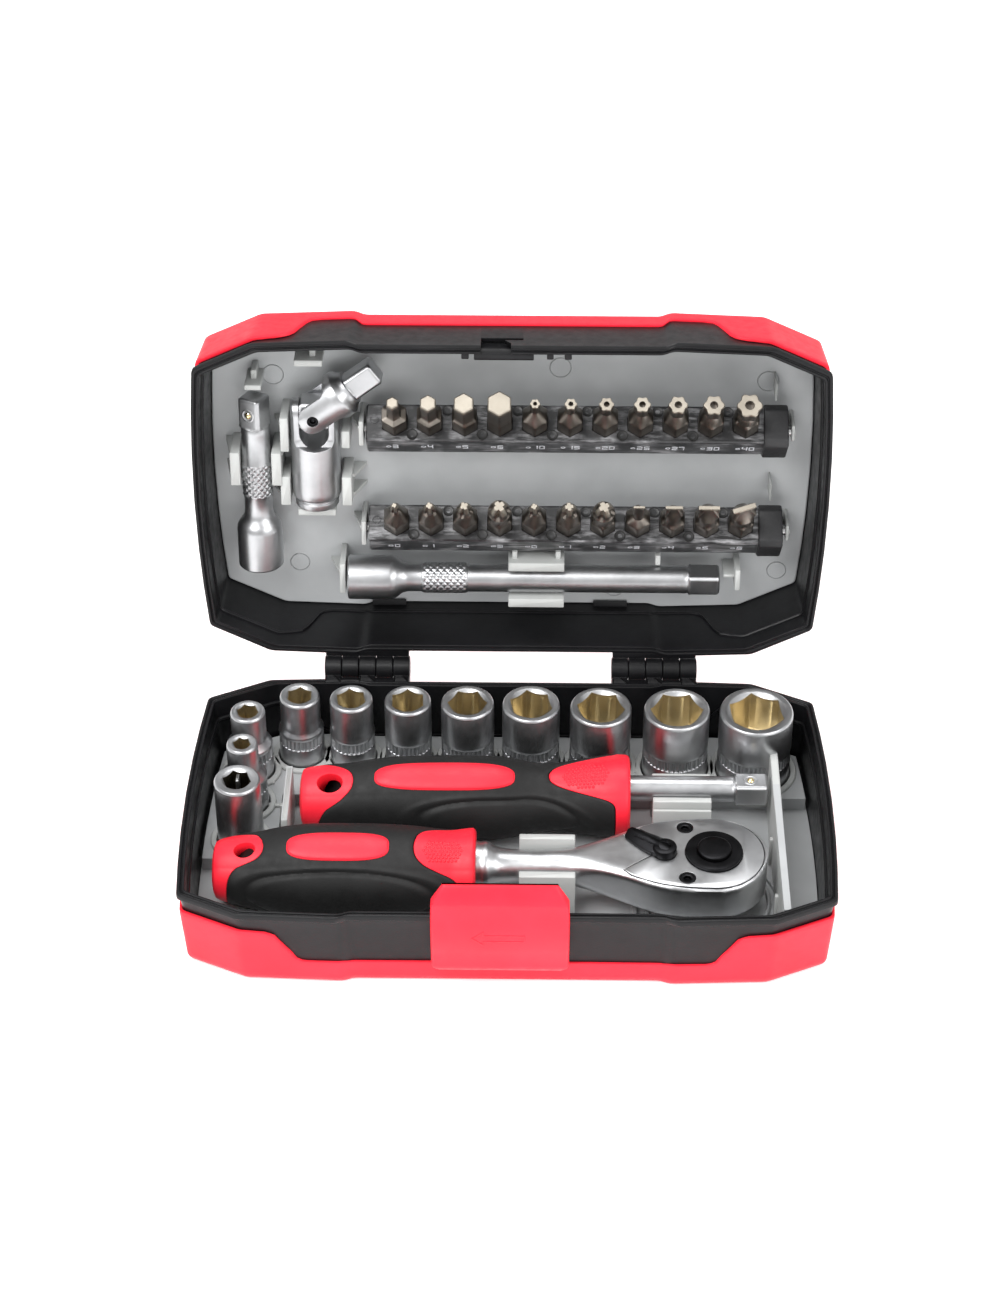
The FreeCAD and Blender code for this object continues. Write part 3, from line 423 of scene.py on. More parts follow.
# The section of the black wall, as (inset, height) from outside over the rim to inside.
RIM_PROFILE = [(1.9, -22.6), (1.75, -22.0), (1.25, -6.0), (0.78, -2.5), (0.72, -1.95), (0.2, -1.75),
               (0.0, -1.5), (0.0, -0.45), (0.1, -0.18), (0.33, -0.06), (0.72, -0.06), (0.86, -0.16),
               (0.95, -0.45), (1.15, -0.55), (1.3, -0.45), (1.38, -0.16), (1.5, -0.06), (1.85, -0.06),
               (1.98, -0.16), (2.02, -0.5), (2.35, -8.0), (3.2, -22.0)]
HINGE_SIDES, KNUCKLE_PITCH = (-38.6, 38.6), 4.6
# The cover's sides lean in by SIDE_LEAN over SIDE_DEPTH.
SIDE_DEPTH, SIDE_LEAN = 21.6, 1.2


def edge_heights(table):
    return [lerp(table, abs(x), smooth) for x, y in RIM]


def case_shell(rim_z, facing, slots):
    """The black half: walls, stepped rim and hinge knuckles."""
    shape = Shape().skin([rim_ring(inset, rim_z + z, facing) for inset, z in RIM_PROFILE])
    axis_y, axis_z = -facing * (HALF_DEPTH + HINGE_BACK), rim_z - HINGE_RISE * facing

    def hinge_block(middle, reach, back, front, low, high, corner):
        near, far = sorted((back, -facing * (HALF_DEPTH - front)))
        shape.merge(block(middle - reach, middle + reach, near, far, low, high, 0.3, corner))

    for side in HINGE_SIDES:
        for slot in slots:
            x = side + slot * KNUCKLE_PITCH
            barrel = lathe([(2.5, -2.27), (3.05, -2.2), (3.2, -2.0), (3.2, 2.0), (3.05, 2.2), (2.5, 2.27)], 36)
            shape.merge(barrel, shift(x, axis_y, axis_z) @ turn(90, "Y"))
            hinge_block(x, 2.2, axis_y, 0.9, axis_z - 5.2, axis_z - 0.3, 0.5)
        hinge_block(side, 11.2, -facing * (HALF_DEPTH + 1.6), 1.2, rim_z - 4.9, rim_z - 0.35, 0.3)
    return shape


def case_cover(rim_z, facing, table):
    """The coloured half: an S-shaped edge round the sides, and the whole underside."""
    edge = edge_heights(table)

    def drafted(sink, down, lift=0.0):
        """A ring on the drafted side, a share of the way down from the edge."""
        heights = [e + lift + down * (-SIDE_DEPTH - e) for e in edge]
        return rim_ring([-h / SIDE_DEPTH * SIDE_LEAN + sink for h in heights],
                        [rim_z + h for h in heights], facing)

    rings = [rim_ring(inset, rim_z + z, facing) for inset, z in ((4.2, -22.8), (2.4, -22.2))]
    rings += [drafted(*row) for row in ((0.75, 1.0), (0.75, 0.0), (0.38, 0.0), (0.16, 0.0, -0.06), (0.06, 0.0, -0.3))]
    rings += [drafted(0.03, down) for down in (0.1, 0.3, 0.5, 0.7, 0.85, 0.95, 1.0)]
    rings += [rim_ring(inset, rim_z + z, facing)
              for inset, z in ((1.42, -22.4), (1.75, -23.1), (2.3, -23.65), (3.0, -23.95), (4.0, -24.0))]
    return Shape().skin(rings)


LATCH_SLOT = stack(rounded([(-7.9, 0.6), (-7.9, -8.4), (2.9, -8.4), (2.9, -7.2), (-1.9, -7.2), (-0.2, -5.0),
                            (-0.2, 0.6)], 0.15, 1), [(41.5, 0), (48.0, 0)], "y")
for half, place, rim_z, facing, slots, table, cutters in (
        ("base", BASE, CASE_HEIGHT, -1, (-2, 0, 2), BASE_EDGE, ()),
        ("lid", LID, 0, 1, (-1, 1), LID_EDGE, [LATCH_SLOT])):
    make(half + "_walls", case_shell(rim_z, facing, slots), "case_black", half, place,
         replaces=[half + "_shell"], cutters=cutters)
    make(half + "_skirt", case_cover(rim_z, facing, table), "case_red", half, place, replaces=[half + "_cover"])

ribs = [block(x0, x1, 41.2, 42.9, -deep, -0.3, 0.3, 0.2) for x0, x1, deep in
        ((-9.6, 5.6, 3.4), (-12.8, -10.9, 2.0), (8.9, 10.6, 2.0), (13.4, 15.2, 2.0))]
ribs.append(block(-9.6, 5.6, 40.9, 41.9, -9.6, -0.4, 0.3, 0.2))
make("lid_rim_ribs", joined(ribs), "case_black", "lid", LID)


def latch_shape():
    """The sliding front plate: bevelled top, three facets, corners cut off, a tongue, a hook and an arrow."""
    left, right, back = -18.5, 15.5, -45.01
    rings = []
    for z, cut, front in ((8.4, 1.5, -46.9), (8.6, 1.1, -47.4), (9.6, 0.25, -47.95), (10.6, 0.0, -48.0),
                          (15.4, 0.0, -48.15), (16.2, 0.0, -48.45), (24.6, 0.0, -48.5), (25.4, 0.0, -48.25),
                          (30.6, 0.15, -48.2), (31.4, 0.5, -48.05), (35.1, 2.6, -46.2), (35.6, 3.0, -45.7)):
        x0, x1 = left + cut, right - cut
        rings.append([(x0 + 0.3, back, z), (x0, back - 0.3, z), (x0, front + 0.9, z), (x0 + 0.25, front + 0.25, z),
                      (x0 + 0.9, front, z), (x1 - 0.9, front, z), (x1 - 0.25, front + 0.25, z),
                      (x1, front + 0.9, z), (x1, back - 0.3, z), (x1 - 0.3, back, z)])
    arrow = [(-5.4, 17.9), (-5.4, 19.3), (4.6, 19.3), (4.6, 21.5), (-5.4, 21.5), (-5.4, 22.9), (-8.6, 20.4)]
    return joined((Shape().skin(rings), block(-16.0, 13.0, -46.4, -43.4, 10.6, 14.2),
                   block(-7.7, -3.7, -46.2, -42.1, 27.5, 29.9),
                   stack(arrow, [(-48.3, 0), (-48.56, 0), (-48.56, 0.32), (-48.3, 0.32)], "y", loop=True)))


make("latch_front", latch_shape(), "case_red", "latch_plate", replaces=["latch"])


# --- sockets -----------------------------------------------------------------------------

# Nominal size, distance right of centre, distance forward of the back edge, outside diameter,
# turn about its axis.
SOCKETS = [(13, 64.9, 17.0, 19.4, 8), (12, 44.0, 16.4, 17.4, 30), (11, 24.0, 15.7, 16.2, 22),
           (10, 5.6, 14.7, 15.2, 12), (9, -11.2, 14.3, 14.0, 30), (8, -27.0, 13.7, 12.4, 2),
           (7, -42.0, 13.1, 11.4, 10), (6, -55.7, 12.0, 10.6, 0), (5, -68.9, 18.7, 9.2, 22),
           (4, -69.3, 31.6, 8.2, 22)]
ADAPTER_X, ADAPTER_BACK, ADAPTER_WIDTH = -69.4, 45.8, 11.9
DRIVE_WIDTH, TRAY_TOP, SOCKET_STEPS = 12.0, 3.6, 144


def back_to_y(back):
    """Y in the base, from the distance forward of the case's back edge."""
    return HALF_DEPTH - back


def hexagon(flat, twist, groove=0.0):
    """How far a hexagon reaches at an angle, with a relief groove in each corner."""
    plain = polygon(6, flat)
    corner = flat / math.cos(math.pi / 6)

    def reach(angle):
        far = plain(angle - math.radians(twist))
        return far + groove * math.exp(-((corner - far) / (0.09 * flat)) ** 2)
    return reach


def socket_shape(width, flat, depth, twist, ribs):
    """Turned outside with a ribbed band, hexagon above, square drive below."""
    height, waist, foot, body = 25.0, 14.2, max(width, DRIVE_WIDTH) / 2, width / 2
    mouth = min(flat / math.cos(math.pi / 6) + 0.12, body - 0.75)
    hole = min(2.4, flat * 0.84)
    outside = [(foot - 0.55, 0), (foot - 0.15, 0.12), (foot, 0.5), (foot, 9.6)]
    if ribs:
        ribbed = lambda angle: foot - 0.55 * (0.5 + 0.5 * math.cos(ribs * angle)) ** 0.7
        outside += [(foot - 0.12, 9.8), (foot - 0.12, 10.0), (ribbed, 10.1), (ribbed, 13.1), (foot - 0.12, 13.2),
                    (foot - 0.12, 13.4), (foot, 13.6)]
    outside.append((foot, waist))
    if foot > body + 0.2:
        outside += [(foot - 0.15, waist + 0.3), (body + 0.1, waist + 0.5 + foot - body),
                    (body, waist + 0.9 + foot - body)]
    outside += [(body, height - 1.15), (body - 0.06, height - 0.95), (body - 0.06, height - 0.85),
                (body - 0.02, height - 0.7), (body - 0.16, height - 0.25), (body - 0.45, height),
                (mouth + 0.12, height), (mouth, height - 0.05)]
    inside = [(hexagon(flat, twist), lambda far: height - 0.05 - (mouth - min(far, mouth)) * 0.75),
              (hexagon(flat, twist), height - 1.5), (hexagon(flat, twist, 0.28), height - 1.6),
              (hexagon(flat, twist, 0.28), height - depth), (hole + 0.5, height - depth - 0.3),
              (hole, height - depth - 0.9), (hole, 9.6)]
    rings = [ring(reach, z, SOCKET_STEPS) for reach, z in outside + inside]
    rings += [[(x, y, z) for x, y in squircle(half, half, 14, SOCKET_STEPS)]
              for half, z in ((3.22, 9.5), (3.22, 0.5), (3.6, 0.0))]
    slots = [0] * len(outside) + [1] * (len(rings) - len(outside) - 1) + [0]
    return Shape().skin(rings, slots, loop=True)


for size, x, back, width, twist in SOCKETS:
    shape = socket_shape(width, (size + 0.12) / 2, min(12.0, size + 3), twist, round(max(width, DRIVE_WIDTH) * 2.5))
    make("socket_%02d_body" % size, shape, "satin_chrome socket_inside", "size_%d" % size,
         shift(x, back_to_y(back), TRAY_TOP), replaces=["socket_%d" % size])
ADAPTER_AT = shift(ADAPTER_X, back_to_y(ADAPTER_BACK), TRAY_TOP)
make("adapter_body", socket_shape(ADAPTER_WIDTH, 3.225, 13.0, 20, 0), "satin_chrome adapter_inside", "adapter",
     ADAPTER_AT, replaces=["bit_adapter"])
make("adapter_spring_pin", block(-0.45, 0.45, 0.3, 3.2, 18.0, 24.2, 0.2, 0.35), "plain_steel", "adapter",
     ADAPTER_AT, replaces=["adapter_clip"])


# --- handles -----------------------------------------------------------------------------

GRIP_ANGLES = [i * 1.8 - 90 for i in range(200)]
SAG_Y, SAG_Z = -0.63, -0.78  # the direction that handles sag in


class Grip:
    """A two-colour moulded handle along X: angles in degrees, 90 up and 0 to the front."""

    def __init__(self, radii, swell, sag, cap_edge, pad_edge, panel):
        self.radii, self.swell, self.sag, self.panel = radii, swell, sag, panel
        self.cap, self.pad = (lambda angle, table=table: curve(table, (angle + 270) % 360 - 270)
                              for table in (cap_edge, pad_edge))

    def reach(self, x, angle):
        centre, spread, amount = self.swell
        finger = math.exp(-((x - centre) / spread) ** 2)
        return curve(self.radii, x) + amount * finger * max(0.0, math.cos(math.radians(angle + 40))) ** 2

    def point(self, x, angle, lift=0.0):
        """On the surface, which is fuller low in front, sags and rests on the tray's floor."""
        fuller, sink, floor = self.sag
        down, around = lerp(sink, x), math.radians(angle)
        radius = self.reach(x, angle) + lift + fuller * max(0.0, math.cos(math.radians(angle + 51)))
        return Vector((x, -radius * math.cos(around) + SAG_Y * down,
                       max(radius * math.sin(around) + SAG_Z * down, floor + lift * 0.5)))

    def ring(self, x, lift):
        """Round the handle; x and lift may depend on the angle."""
        return [self.point(x(a) if callable(x) else x, a, lift(a) if callable(lift) else lift)
                for a in GRIP_ANGLES]

    def panel_lift(self, x, angle):
        """The finger rest low on the front: a raised field inside a rounded groove."""
        x0, half_x, angle0, half_s, tilt = self.panel
        side = math.radians((angle - angle0 + 180) % 360 - 180) * self.reach(x, angle) - tilt * (x - x0)
        measure = math.hypot((x - x0) / half_x, side / half_s)
        if measure > 1.6:
            return 0.0
        away = (measure - 1) * half_s * 0.8
        return (-0.42 * math.exp(-(away / 0.3) ** 2) + 0.2 * math.exp(-((away - 0.9) / 0.32) ** 2)
                + 0.3 * smooth(-away / 0.8))


def grip_band(grip, start, end, lift, rows, panel=False, round_end=True):
    """A closed band over the handle between two edges, each a function of the angle."""
    shares = [0, 0.004, 0.014] + [0.03 + 0.94 * k / rows for k in range(rows + 1)] + [0.986, 0.996, 1]
    dips = [0.42, 0.16, 0.03] + [0] * (rows + 1) + ([0.03, 0.16, 0.42] if round_end else [0, 0, 0])
    rings = [grip.ring(lambda a: start(a) + 0.3, lift - 1.2)]
    for share, dip in zip(shares, dips):
        along = lambda a: start(a) + (end(a) - start(a)) * share
        raised = lambda a: lift - dip + (grip.panel_lift(along(a), a) if panel else 0.0)
        rings.append(grip.ring(along, raised))
    rings.append(grip.ring(lambda a: end(a) - 0.3, lift - 1.2))
    return Shape().skin(rings)


def badge_shape(grip, x0, x1, low, high):
    """A plain raised badge plate with a stepped border, wrapped on the handle."""
    middle, half, centre, span = (x0 + x1) / 2, (x1 - x0) / 2, (low + high) / 2, (high - low) / 2
    levels = [(1.0, -0.6), (1.0, 0.1), (0.992, 0.3), (0.975, 0.42), (0.93, 0.46), (0.915, 0.5), (0.9, 0.62),
              (0.87, 0.68)] + [(scale, 0.7) for scale in (0.75, 0.6, 0.45, 0.3, 0.15, 0.03)]
    rings = []
    for scale, lift in levels:
        wide = half * scale if scale < 0.85 else half - (1 - scale) * 4.2
        rings.append([grip.point(middle + wide * a, centre + span * scale * b, lift)
                      for a, b in squircle(1, 1, 3.2, 96)])
    return Shape().skin(rings)


def dots_shape(grip, x0, x1, low, high):
    """Rows of small domes on the thumb pad."""
    middle, half, centre, span = (x0 + x1) / 2, (x1 - x0) / 2, (low + high) / 2, (high - low) / 2
    shape, pitch = Shape(), 0.95
    step = math.degrees(pitch * 0.9 / grip.reach(middle, centre))
    rows, columns = int(span / step), int(half / pitch) + 1
    for row in range(-rows, rows + 1):
        angle = centre + row * step
        for column in range(-columns, columns + 1):
            x = middle + (column + (0.5 if row % 2 else 0)) * pitch
            if ((x - middle) / half) ** 2 + ((angle - centre) / span) ** 2 > 1:
                continue
            dome = lathe([(0.33, -0.3), (0.33, 0.05), (0.26, 0.15), (0.12, 0.2)], 8)
            place = Matrix.Translation(grip.point(x, angle)) @ turn(90 - angle, "X")
            shape.merge(dome, place)
    return shape


def hang_hole(grip, x, angle, half_x, half_s):
    """A cutter for the hanging hole, opening out towards both ends."""
    down = lerp(grip.sag[1], x)
    rings = [[(half_x * p.x, half_s * p.y, p.z) for p in ring(grow, height, 40)] for height, grow in
             ((-15, 1.35), (-7.5, 1.06), (-6.3, 1.0), (5.6, 1.0), (7.0, 1.08), (14, 1.7))]
    return Shape().skin(rings).placed(shift(x, SAG_Y * down, SAG_Z * down) @ turn(90 - angle, "X"))


def make_handle(name, grip, left, right, badge, pad_dots, hole, place):
    """Cap, sleeve and collar of one handle, with badge plate and thumb pad."""
    cap, pad, radius, rim = grip.cap, grip.pad, grip.radii[0][1], right - 0.7
    rings = [grip.ring(left + step, (share - 1) * radius)
             for share, step in ((0.3, 0.0), (0.55, 0.0), (0.75, 0.1), (0.9, 0.35))]
    rings += [grip.ring(lambda a: left + 0.8 + (cap(a) - 0.95 - left) * k / 16, -0.03) for k in range(17)]
    rings += [grip.ring(lambda a: cap(a) + 0.05, -0.2), grip.ring(lambda a: cap(a) + 0.4, -1.6)]
    make(name + "_cap", Shape().skin(rings), "grip_red", name, place,
         replaces=[name + "_grip_core"], cutters=[hang_hole(grip, *hole)])
    make(name + "_sleeve", grip_band(grip, cap, pad, 0.1, 130, panel=True), "grip_black", name, place,
         replaces=[name + "_grip_sleeve"])
    collar = grip_band(grip, lambda a: pad(a) + 0.1, lambda a: rim, 0.0, 24, round_end=False)
    collar.skin([grip.ring(rim + step, lift) for step, lift in
                 ((-0.5, -1.0), (0, 0.0), (0.4, -0.2), (0.7, -0.8), (0.7, -3.5), (0.1, -4.0))])
    make(name + "_collar", collar.merge(dots_shape(grip, *pad_dots)), "grip_red", name, place)
    make(name + "_badge", badge_shape(grip, *badge), "grip_red", name, place)


DRIVER_Y, RATCHET_Y = back_to_y(34.9), back_to_y(63.2)
DRIVER_AT, RATCHET_AT = shift(0, DRIVER_Y, 17.0), shift(0, RATCHET_Y, 15.5)
DRIVER_GRIP = Grip(
    [(-54.3, 5.9), (-53.4, 6.9), (-51.4, 7.5), (-47, 8.0), (-42, 8.2), (-37, 8.8), (-31, 9.4), (-24, 9.7),
     (-14, 9.85), (-4, 9.7), (1, 9.2), (5.4, 8.3), (9, 7.95), (13, 8.1), (18.5, 9.0), (23.7, 9.85),
     (27.6, 10.3), (30, 10.25), (31.4, 10.0)],
    (-3, 14, 0.9), (1.1, [(-55, 2.6), (-46, 2.5), (-30, 1.8), (20, 1.6), (32, 1.5)], -12.6),
    [(-270, -41.4), (-265, -42.0), (-256, -43.6), (-245, -45.8), (-234, -47.7), (-215, -49.3),
     (-194, -49.8), (-60, -49.9), (-30, -49.7), (10, -47.6), (32, -43.4), (51, -40.9), (65, -40.3),
     (75, -40.4), (85, -40.9), (90, -41.4)],
    [(-270, 10.9), (-262, 11.9), (-254, 14.2), (-248, 18.0), (-243, 23.4), (-239, 26.8), (-230, 27.5),
     (-180, 27.6), (-60, 27.6), (14, 27.5), (26, 27.0), (32, 25.2), (38, 21.4), (46, 16.6), (55, 13.0),
     (65, 10.9), (76, 10.3), (84, 10.4), (90, 10.9)],
    (-2.5, 21.0, -6, 6.2, -0.04))
make_handle("driver", DRIVER_GRIP, -54.3, 31.4, (-34.7, 1.6, 46, 93), (13.6, 26.2, 51, 97),
            (-46.3, 66, 2.9, 2.4), DRIVER_AT)
RATCHET_GRIP = Grip(
    [(-74.6, 5.2), (-73.6, 6.4), (-71.4, 7.3), (-67, 8.2), (-62.5, 9.0), (-57, 10.2), (-51, 10.9),
     (-43, 11.2), (-33, 11.1), (-24, 10.6), (-18, 9.9), (-14, 9.6), (-11, 9.9), (-9, 10.1), (-8, 9.9)],
    (-42, 18, 0.3), (1.7, [(-75, 0.7), (-40, 0.8), (-8, 0.5)], -11.2),
    [(-270, -61.8), (-262, -62.4), (-252, -63.4), (-243, -66.0), (-235, -68.3), (-215, -70.1),
     (-180, -70.7), (-90, -71.0), (-17, -70.7), (19, -70.1), (39, -68.3), (48, -65.6), (56, -63.1),
     (67, -61.7), (78, -61.4), (90, -61.8)],
    [(-270, -23.1), (-262, -22.5), (-252, -20.9), (-244, -18.4), (-238, -15.4), (-231, -12.9),
     (-215, -12.4), (-180, -12.3), (-60, -12.3), (12, -12.4), (21, -12.9), (28, -14.4), (36, -17.4),
     (46, -20.8), (58, -22.9), (72, -23.6), (84, -23.4), (90, -23.1)],
    (-42.0, 24.0, -4, 8.0, 0.0))
make_handle("ratchet", RATCHET_GRIP, -74.6, -8.0, (-55.4, -29.6, 52, 93), (-21.6, -10.8, 49, 88),
            (-66.2, 74, 2.3, 1.9), RATCHET_AT)


# --- ratchet head ------------------------------------------------------------------------

HEAD_X, HEAD_R = 52.0, 13.6
HALF_THICK = 5.25
HEAD_AT = RATCHET_AT @ shift(HEAD_X, 0, 0)


def bar_rings(rows, steps):
    """Rings along X from (x, half width, half height, power, turn): power 2 is round, high is square."""
    return [[(x, y, z) for y, z in squircle(wide, high, power, steps, math.radians(twist))]
            for x, wide, high, power, twist in rows]


def head_width(x):
    """Half the head's width along its length: shank, flare, then a disc."""
    if x > HEAD_X:
        return math.sqrt(max(0.0, HEAD_R ** 2 - (x - HEAD_X) ** 2))
    return curve([(10, 4.35), (15, 4.5), (20, 5.1), (24, 6.2), (29, 8.2), (34, 10.5), (39, 12.3), (44, 13.2),
                  (HEAD_X, HEAD_R), (60, 13.0)], x)


def head_height(x):
    return curve([(10, 4.3), (18, 4.6), (24, 4.95), (29.5, 5.2), (33, HALF_THICK), (66, HALF_THICK)], x)


def forging():
    """Neck rings, shank and teardrop head; the head's edges are rounded along its outline."""
    rows = [(x, half, half, 2, 0) for x, half in
            ((-12, 3.4), (-9, 6.2), (-7.6, 6.4), (-6.9, 6.1), (-6.3, 6.35), (-5.4, 6.4), (-4.6, 6.1), (-3.6, 5.3),
             (-2.0, 4.75), (0.5, 4.4), (4, 4.25), (8, 4.15))]
    rows += [(x, head_width(x), head_height(x), 2 + 12 * smooth((x - 14) / 26), 0) for x in range(10, 55, 2)]
    for degrees in (12, 24, 35, 45, 54, 62, 69, 75, 80, 84, 87, 89):
        x = HEAD_X + HEAD_R * math.sin(math.radians(degrees))
        rows.append((x, head_width(x), HALF_THICK, 14, 0))
    return Shape().skin(bar_rings(rows, 96))


def plate_outline(shrink):
    """The cover plate's outline: a disc with two arms along the neck, and a notch between them."""
    upper = [(29.2, 6.4)] + [(x, head_width(x) - shrink) for x in (31.0, 33.5, 36.5, 39, 42, 45, 48.5)]
    disc = [(HEAD_X + (HEAD_R - shrink) * math.sin(math.radians(a)), (HEAD_R - shrink) * math.cos(math.radians(a)))
            for a in range(0, 181, 6)]
    return ([(37.6, 0.0)] + upper + disc + [(x, -y) for x, y in reversed(upper)])[::-1]


recess = prism(offset(plate_outline(0.85), -0.12), HALF_THICK - 1.3, HALF_THICK + 2, 0.01)
gear_room = lathe([(8.0, -3.2), (8.0, HALF_THICK + 2.1)], 48).placed(shift(HEAD_X, 0, 0))
drive_bore = lathe([(6.45, -8), (6.45, -3)], 48).placed(shift(HEAD_X, 0, 0))
make("ratchet_forging", forging(), "polished_chrome", "ratchet", RATCHET_AT, 50, ["ratchet_body"],
     [recess, gear_room, drive_bore])
LEVER_X, SCREW_X, SCREW_SIDES = 39.6, 45, (9.2, -9.2)
bores = [lathe([(radius, -9), (radius, 9)], 40).placed(shift(x, y, 0)) for x, y, radius in
         ((HEAD_X, 0, 7.35), (LEVER_X, 0, 3.1), *((SCREW_X, y, 2.15) for y in SCREW_SIDES))]
make("ratchet_plate", prism(plate_outline(0.95), HALF_THICK - 1.3, HALF_THICK + 0.02, 0.22), "satin_chrome",
     "ratchet", RATCHET_AT, replaces=["ratchet_cover"], cutters=bores)
key_hole = polygon(6, 0.95)
screw = lathe([(2.05, 3.9), (2.05, 4.85), (1.95, 5.02), (1.75, 5.1), (1.25, 5.1), (key_hole, 5.0), (key_hole, 4.1)],
              48).placed(turn(17, "Z"))
screws = Shape()
for y in SCREW_SIDES:
    screws.merge(screw, shift(SCREW_X, y, 0))
make("plate_screws", screws, "black_steel", "ratchet", RATCHET_AT, replaces=["cover_screws"])

disc_face = lathe([(7.2, 5.2), (7.2, 5.75), (7.05, 6.0), (6.7, 6.1), (5.2, 6.02), (5.0, 5.8), (4.55, 5.7),
                   (4.45, 5.6), (4.45, 5.2)], 72, True)
make("gear_disc_face", disc_face, "black_steel", "ratchet_drive", HEAD_AT, replaces=["gear_ring"])
button = lathe([(4.0, 4.0), (4.3, 4.1), (4.3, 6.75), (4.22, 7.0), (4.05, 7.14), (3.8, 7.2), (2.4, 7.26),
                (0.6, 7.28)], 64)
button.merge(lathe([(1.4, -5.2), (1.5, -5.0), (1.5, 4.6)], 32))
make("button_cap", button, "black_steel", "ratchet_button", HEAD_AT, replaces=["release_button"])


def lever_shape():
    """Round hub, a pointed arm whose ridge falls away to both sides, two ribs on it and a spindle."""
    shape = lathe([(2.6, 5.0), (2.95, 5.0), (3.0, 5.3), (3.0, 7.1), (2.9, 7.4), (2.6, 7.55), (1.6, 7.6), (1.5, 7.2),
                   (0.5, 7.1)], 48)
    low, rings = 5.35, []
    for x, wide, ridge, rim in ((1.4, 2.0, 7.4, 6.9), (-0.6, 2.8, 7.6, 6.8), (-2.6, 3.1, 7.75, 6.5),
                                (-5.0, 3.0, 7.85, 6.3), (-7.4, 2.7, 7.9, 6.2), (-9.4, 2.3, 7.85, 6.2),
                                (-10.8, 1.95, 7.6, 6.1), (-11.3, 1.6, 7.1, 6.0)):
        side = [(x, wide, low), (x, wide * 1.02, rim - 0.25), (x, wide * 0.93, rim), (x, wide * 0.28, ridge - 0.1)]
        rings.append(side + [(x, 0, ridge)] + [(x, -y, z) for x, y, z in reversed(side)])
    shape.skin(rings)
    for y in (-1.25, 1.25):
        shape.skin([[(x, y - 0.2, z), (x, y + 0.2, z), (x, y + 0.12, z + 0.35), (x, y - 0.12, z + 0.35)]
                    for x, z in ((-2.2, 7.15), (-5.0, 7.15), (-8.6, 7.05))])
    return shape.placed(turn(-37, "Z")).merge(lathe([(1.45, -2.5), (1.5, -2.3), (1.5, 5.2)], 32))


make("lever_arm", lever_shape(), "black_steel", "ratchet_lever", RATCHET_AT @ shift(LEVER_X, 0, 0),
     replaces=["reversing_lever"])


# --- bars with square drives -------------------------------------------------------------

HALF_SQUARE = 3.175
# Where tools lie in the lid: X, distance from its hinge edge, depth below the rim.
SHORT_X, JOINT_X, LONG_BACK, TOOL_DEPTH = -67.2, -51.5, 16.4, 12.0


def in_lid(x, back, depth):
    return LID @ shift(x, back - HALF_DEPTH, -depth)


def knurled(start, end, radius, starts):
    """Rings of a diamond knurl, cut as two crossing sets of grooves."""
    steps, rows = 144, int((end - start) * 5)
    rings = []
    for row in range(rows + 1):
        x = start + (end - start) * row / rows
        fade = min(1.0, (x - start) / 0.4, (end - x) / 0.4)
        ring = []
        for i in range(steps):
            angle = i * math.tau / steps
            depth = max(abs(math.sin(starts * (angle + side * x / radius) / 2)) ** 6 for side in (-1, 1))
            reach = radius + (0.26 * (1 - depth) - 0.08) * max(0, fade)
            ring.append((x, reach * math.cos(angle), reach * math.sin(angle)))
        rings.append(ring)
    return rings


def x_rings(rows):
    """Rings along X from (x, half width), or with a power and a turn; a square's corners are clipped."""
    rings = []
    for x, half, *how in rows:
        power, twist = how or (2, 0)
        points = [Vector(point) for point in squircle(half, half, power, 144, math.radians(twist))]
        clip = half * 1.275 if power > 4 else half * 2
        rings.append([(x, *(point * min(1.0, clip / point.length))) for point in points])
    return rings


def square_end(start, twist):
    """The male square: shoulder, rounded edges and bevelled face."""
    half, end = HALF_SQUARE, start + 8.5
    return [(start, half * 1.16, 2, twist), (start + 0.3, half + 0.25, 5, twist), (start + 0.9, half, 16, twist),
            (end - 0.9, half, 16, twist), (end - 0.5, half - 0.08, 14, twist), (end - 0.12, half - 0.4, 8, twist),
            (end, half - 0.75, 6, twist)]


def bar_shape(length, k0, k1, k_radius, starts, twist):
    """An extension along X: female square, taper, knurled band and male square."""
    neck, end = 3.75, length - 8.5
    rings = x_rings([(9.5, 0.4), (9.5, 3.1605, 2.2, 0), (9.3, 3.225, 12, 0), (0.6, 3.225, 12, 0), (0.05, 3.725, 8, 0),
                     (0.0, 4.225), (0.0, 5.3), (0.12, 5.7), (0.5, 6.0), (11.2, 6.0), (12.2, 5.85), (13.4, 5.2),
                     (14.6, neck + 0.45), (16.2, neck), (k0 - 0.35, neck), (k0 - 0.1, k_radius - 0.12)])
    rings += knurled(k0, k1, k_radius - 0.1, starts)
    rings += x_rings([(k1 + 0.1, k_radius - 0.12), (k1 + 0.35, neck), (end - 1.7, neck), (end - 0.7, neck + 0.02),
                      (end - 0.2, neck - 0.15)] + square_end(end, twist))
    return Shape().skin(rings)


def seat(x):
    """The ring staked round a detent ball."""
    rows = [(1.25, -0.3), (1.25, 0.02), (1.45, 0.1), (1.75, 0.08), (1.9, -0.02), (1.9, -0.3)]
    return lathe([(radius, HALF_SQUARE + z) for radius, z in rows], 40, True).placed(shift(x, 0, 0))


def detent(x, twist, body, name, node, place):
    """The ball in its staked ring, on the square's facet turned by twist."""
    spot = place @ turn(twist, "X")
    make(name + "_seat", seat(x), "satin_chrome", body, spot)
    radius, centre = 1.2, HALF_SQUARE - 0.75
    profile = [(radius * math.sin(math.radians(a)), radius * math.cos(math.radians(a))) for a in range(170, 0, -10)]
    make(name + "_ball", lathe(profile, 32).placed(shift(x, 0, centre)), "ball_brass", body, spot, replaces=[node])


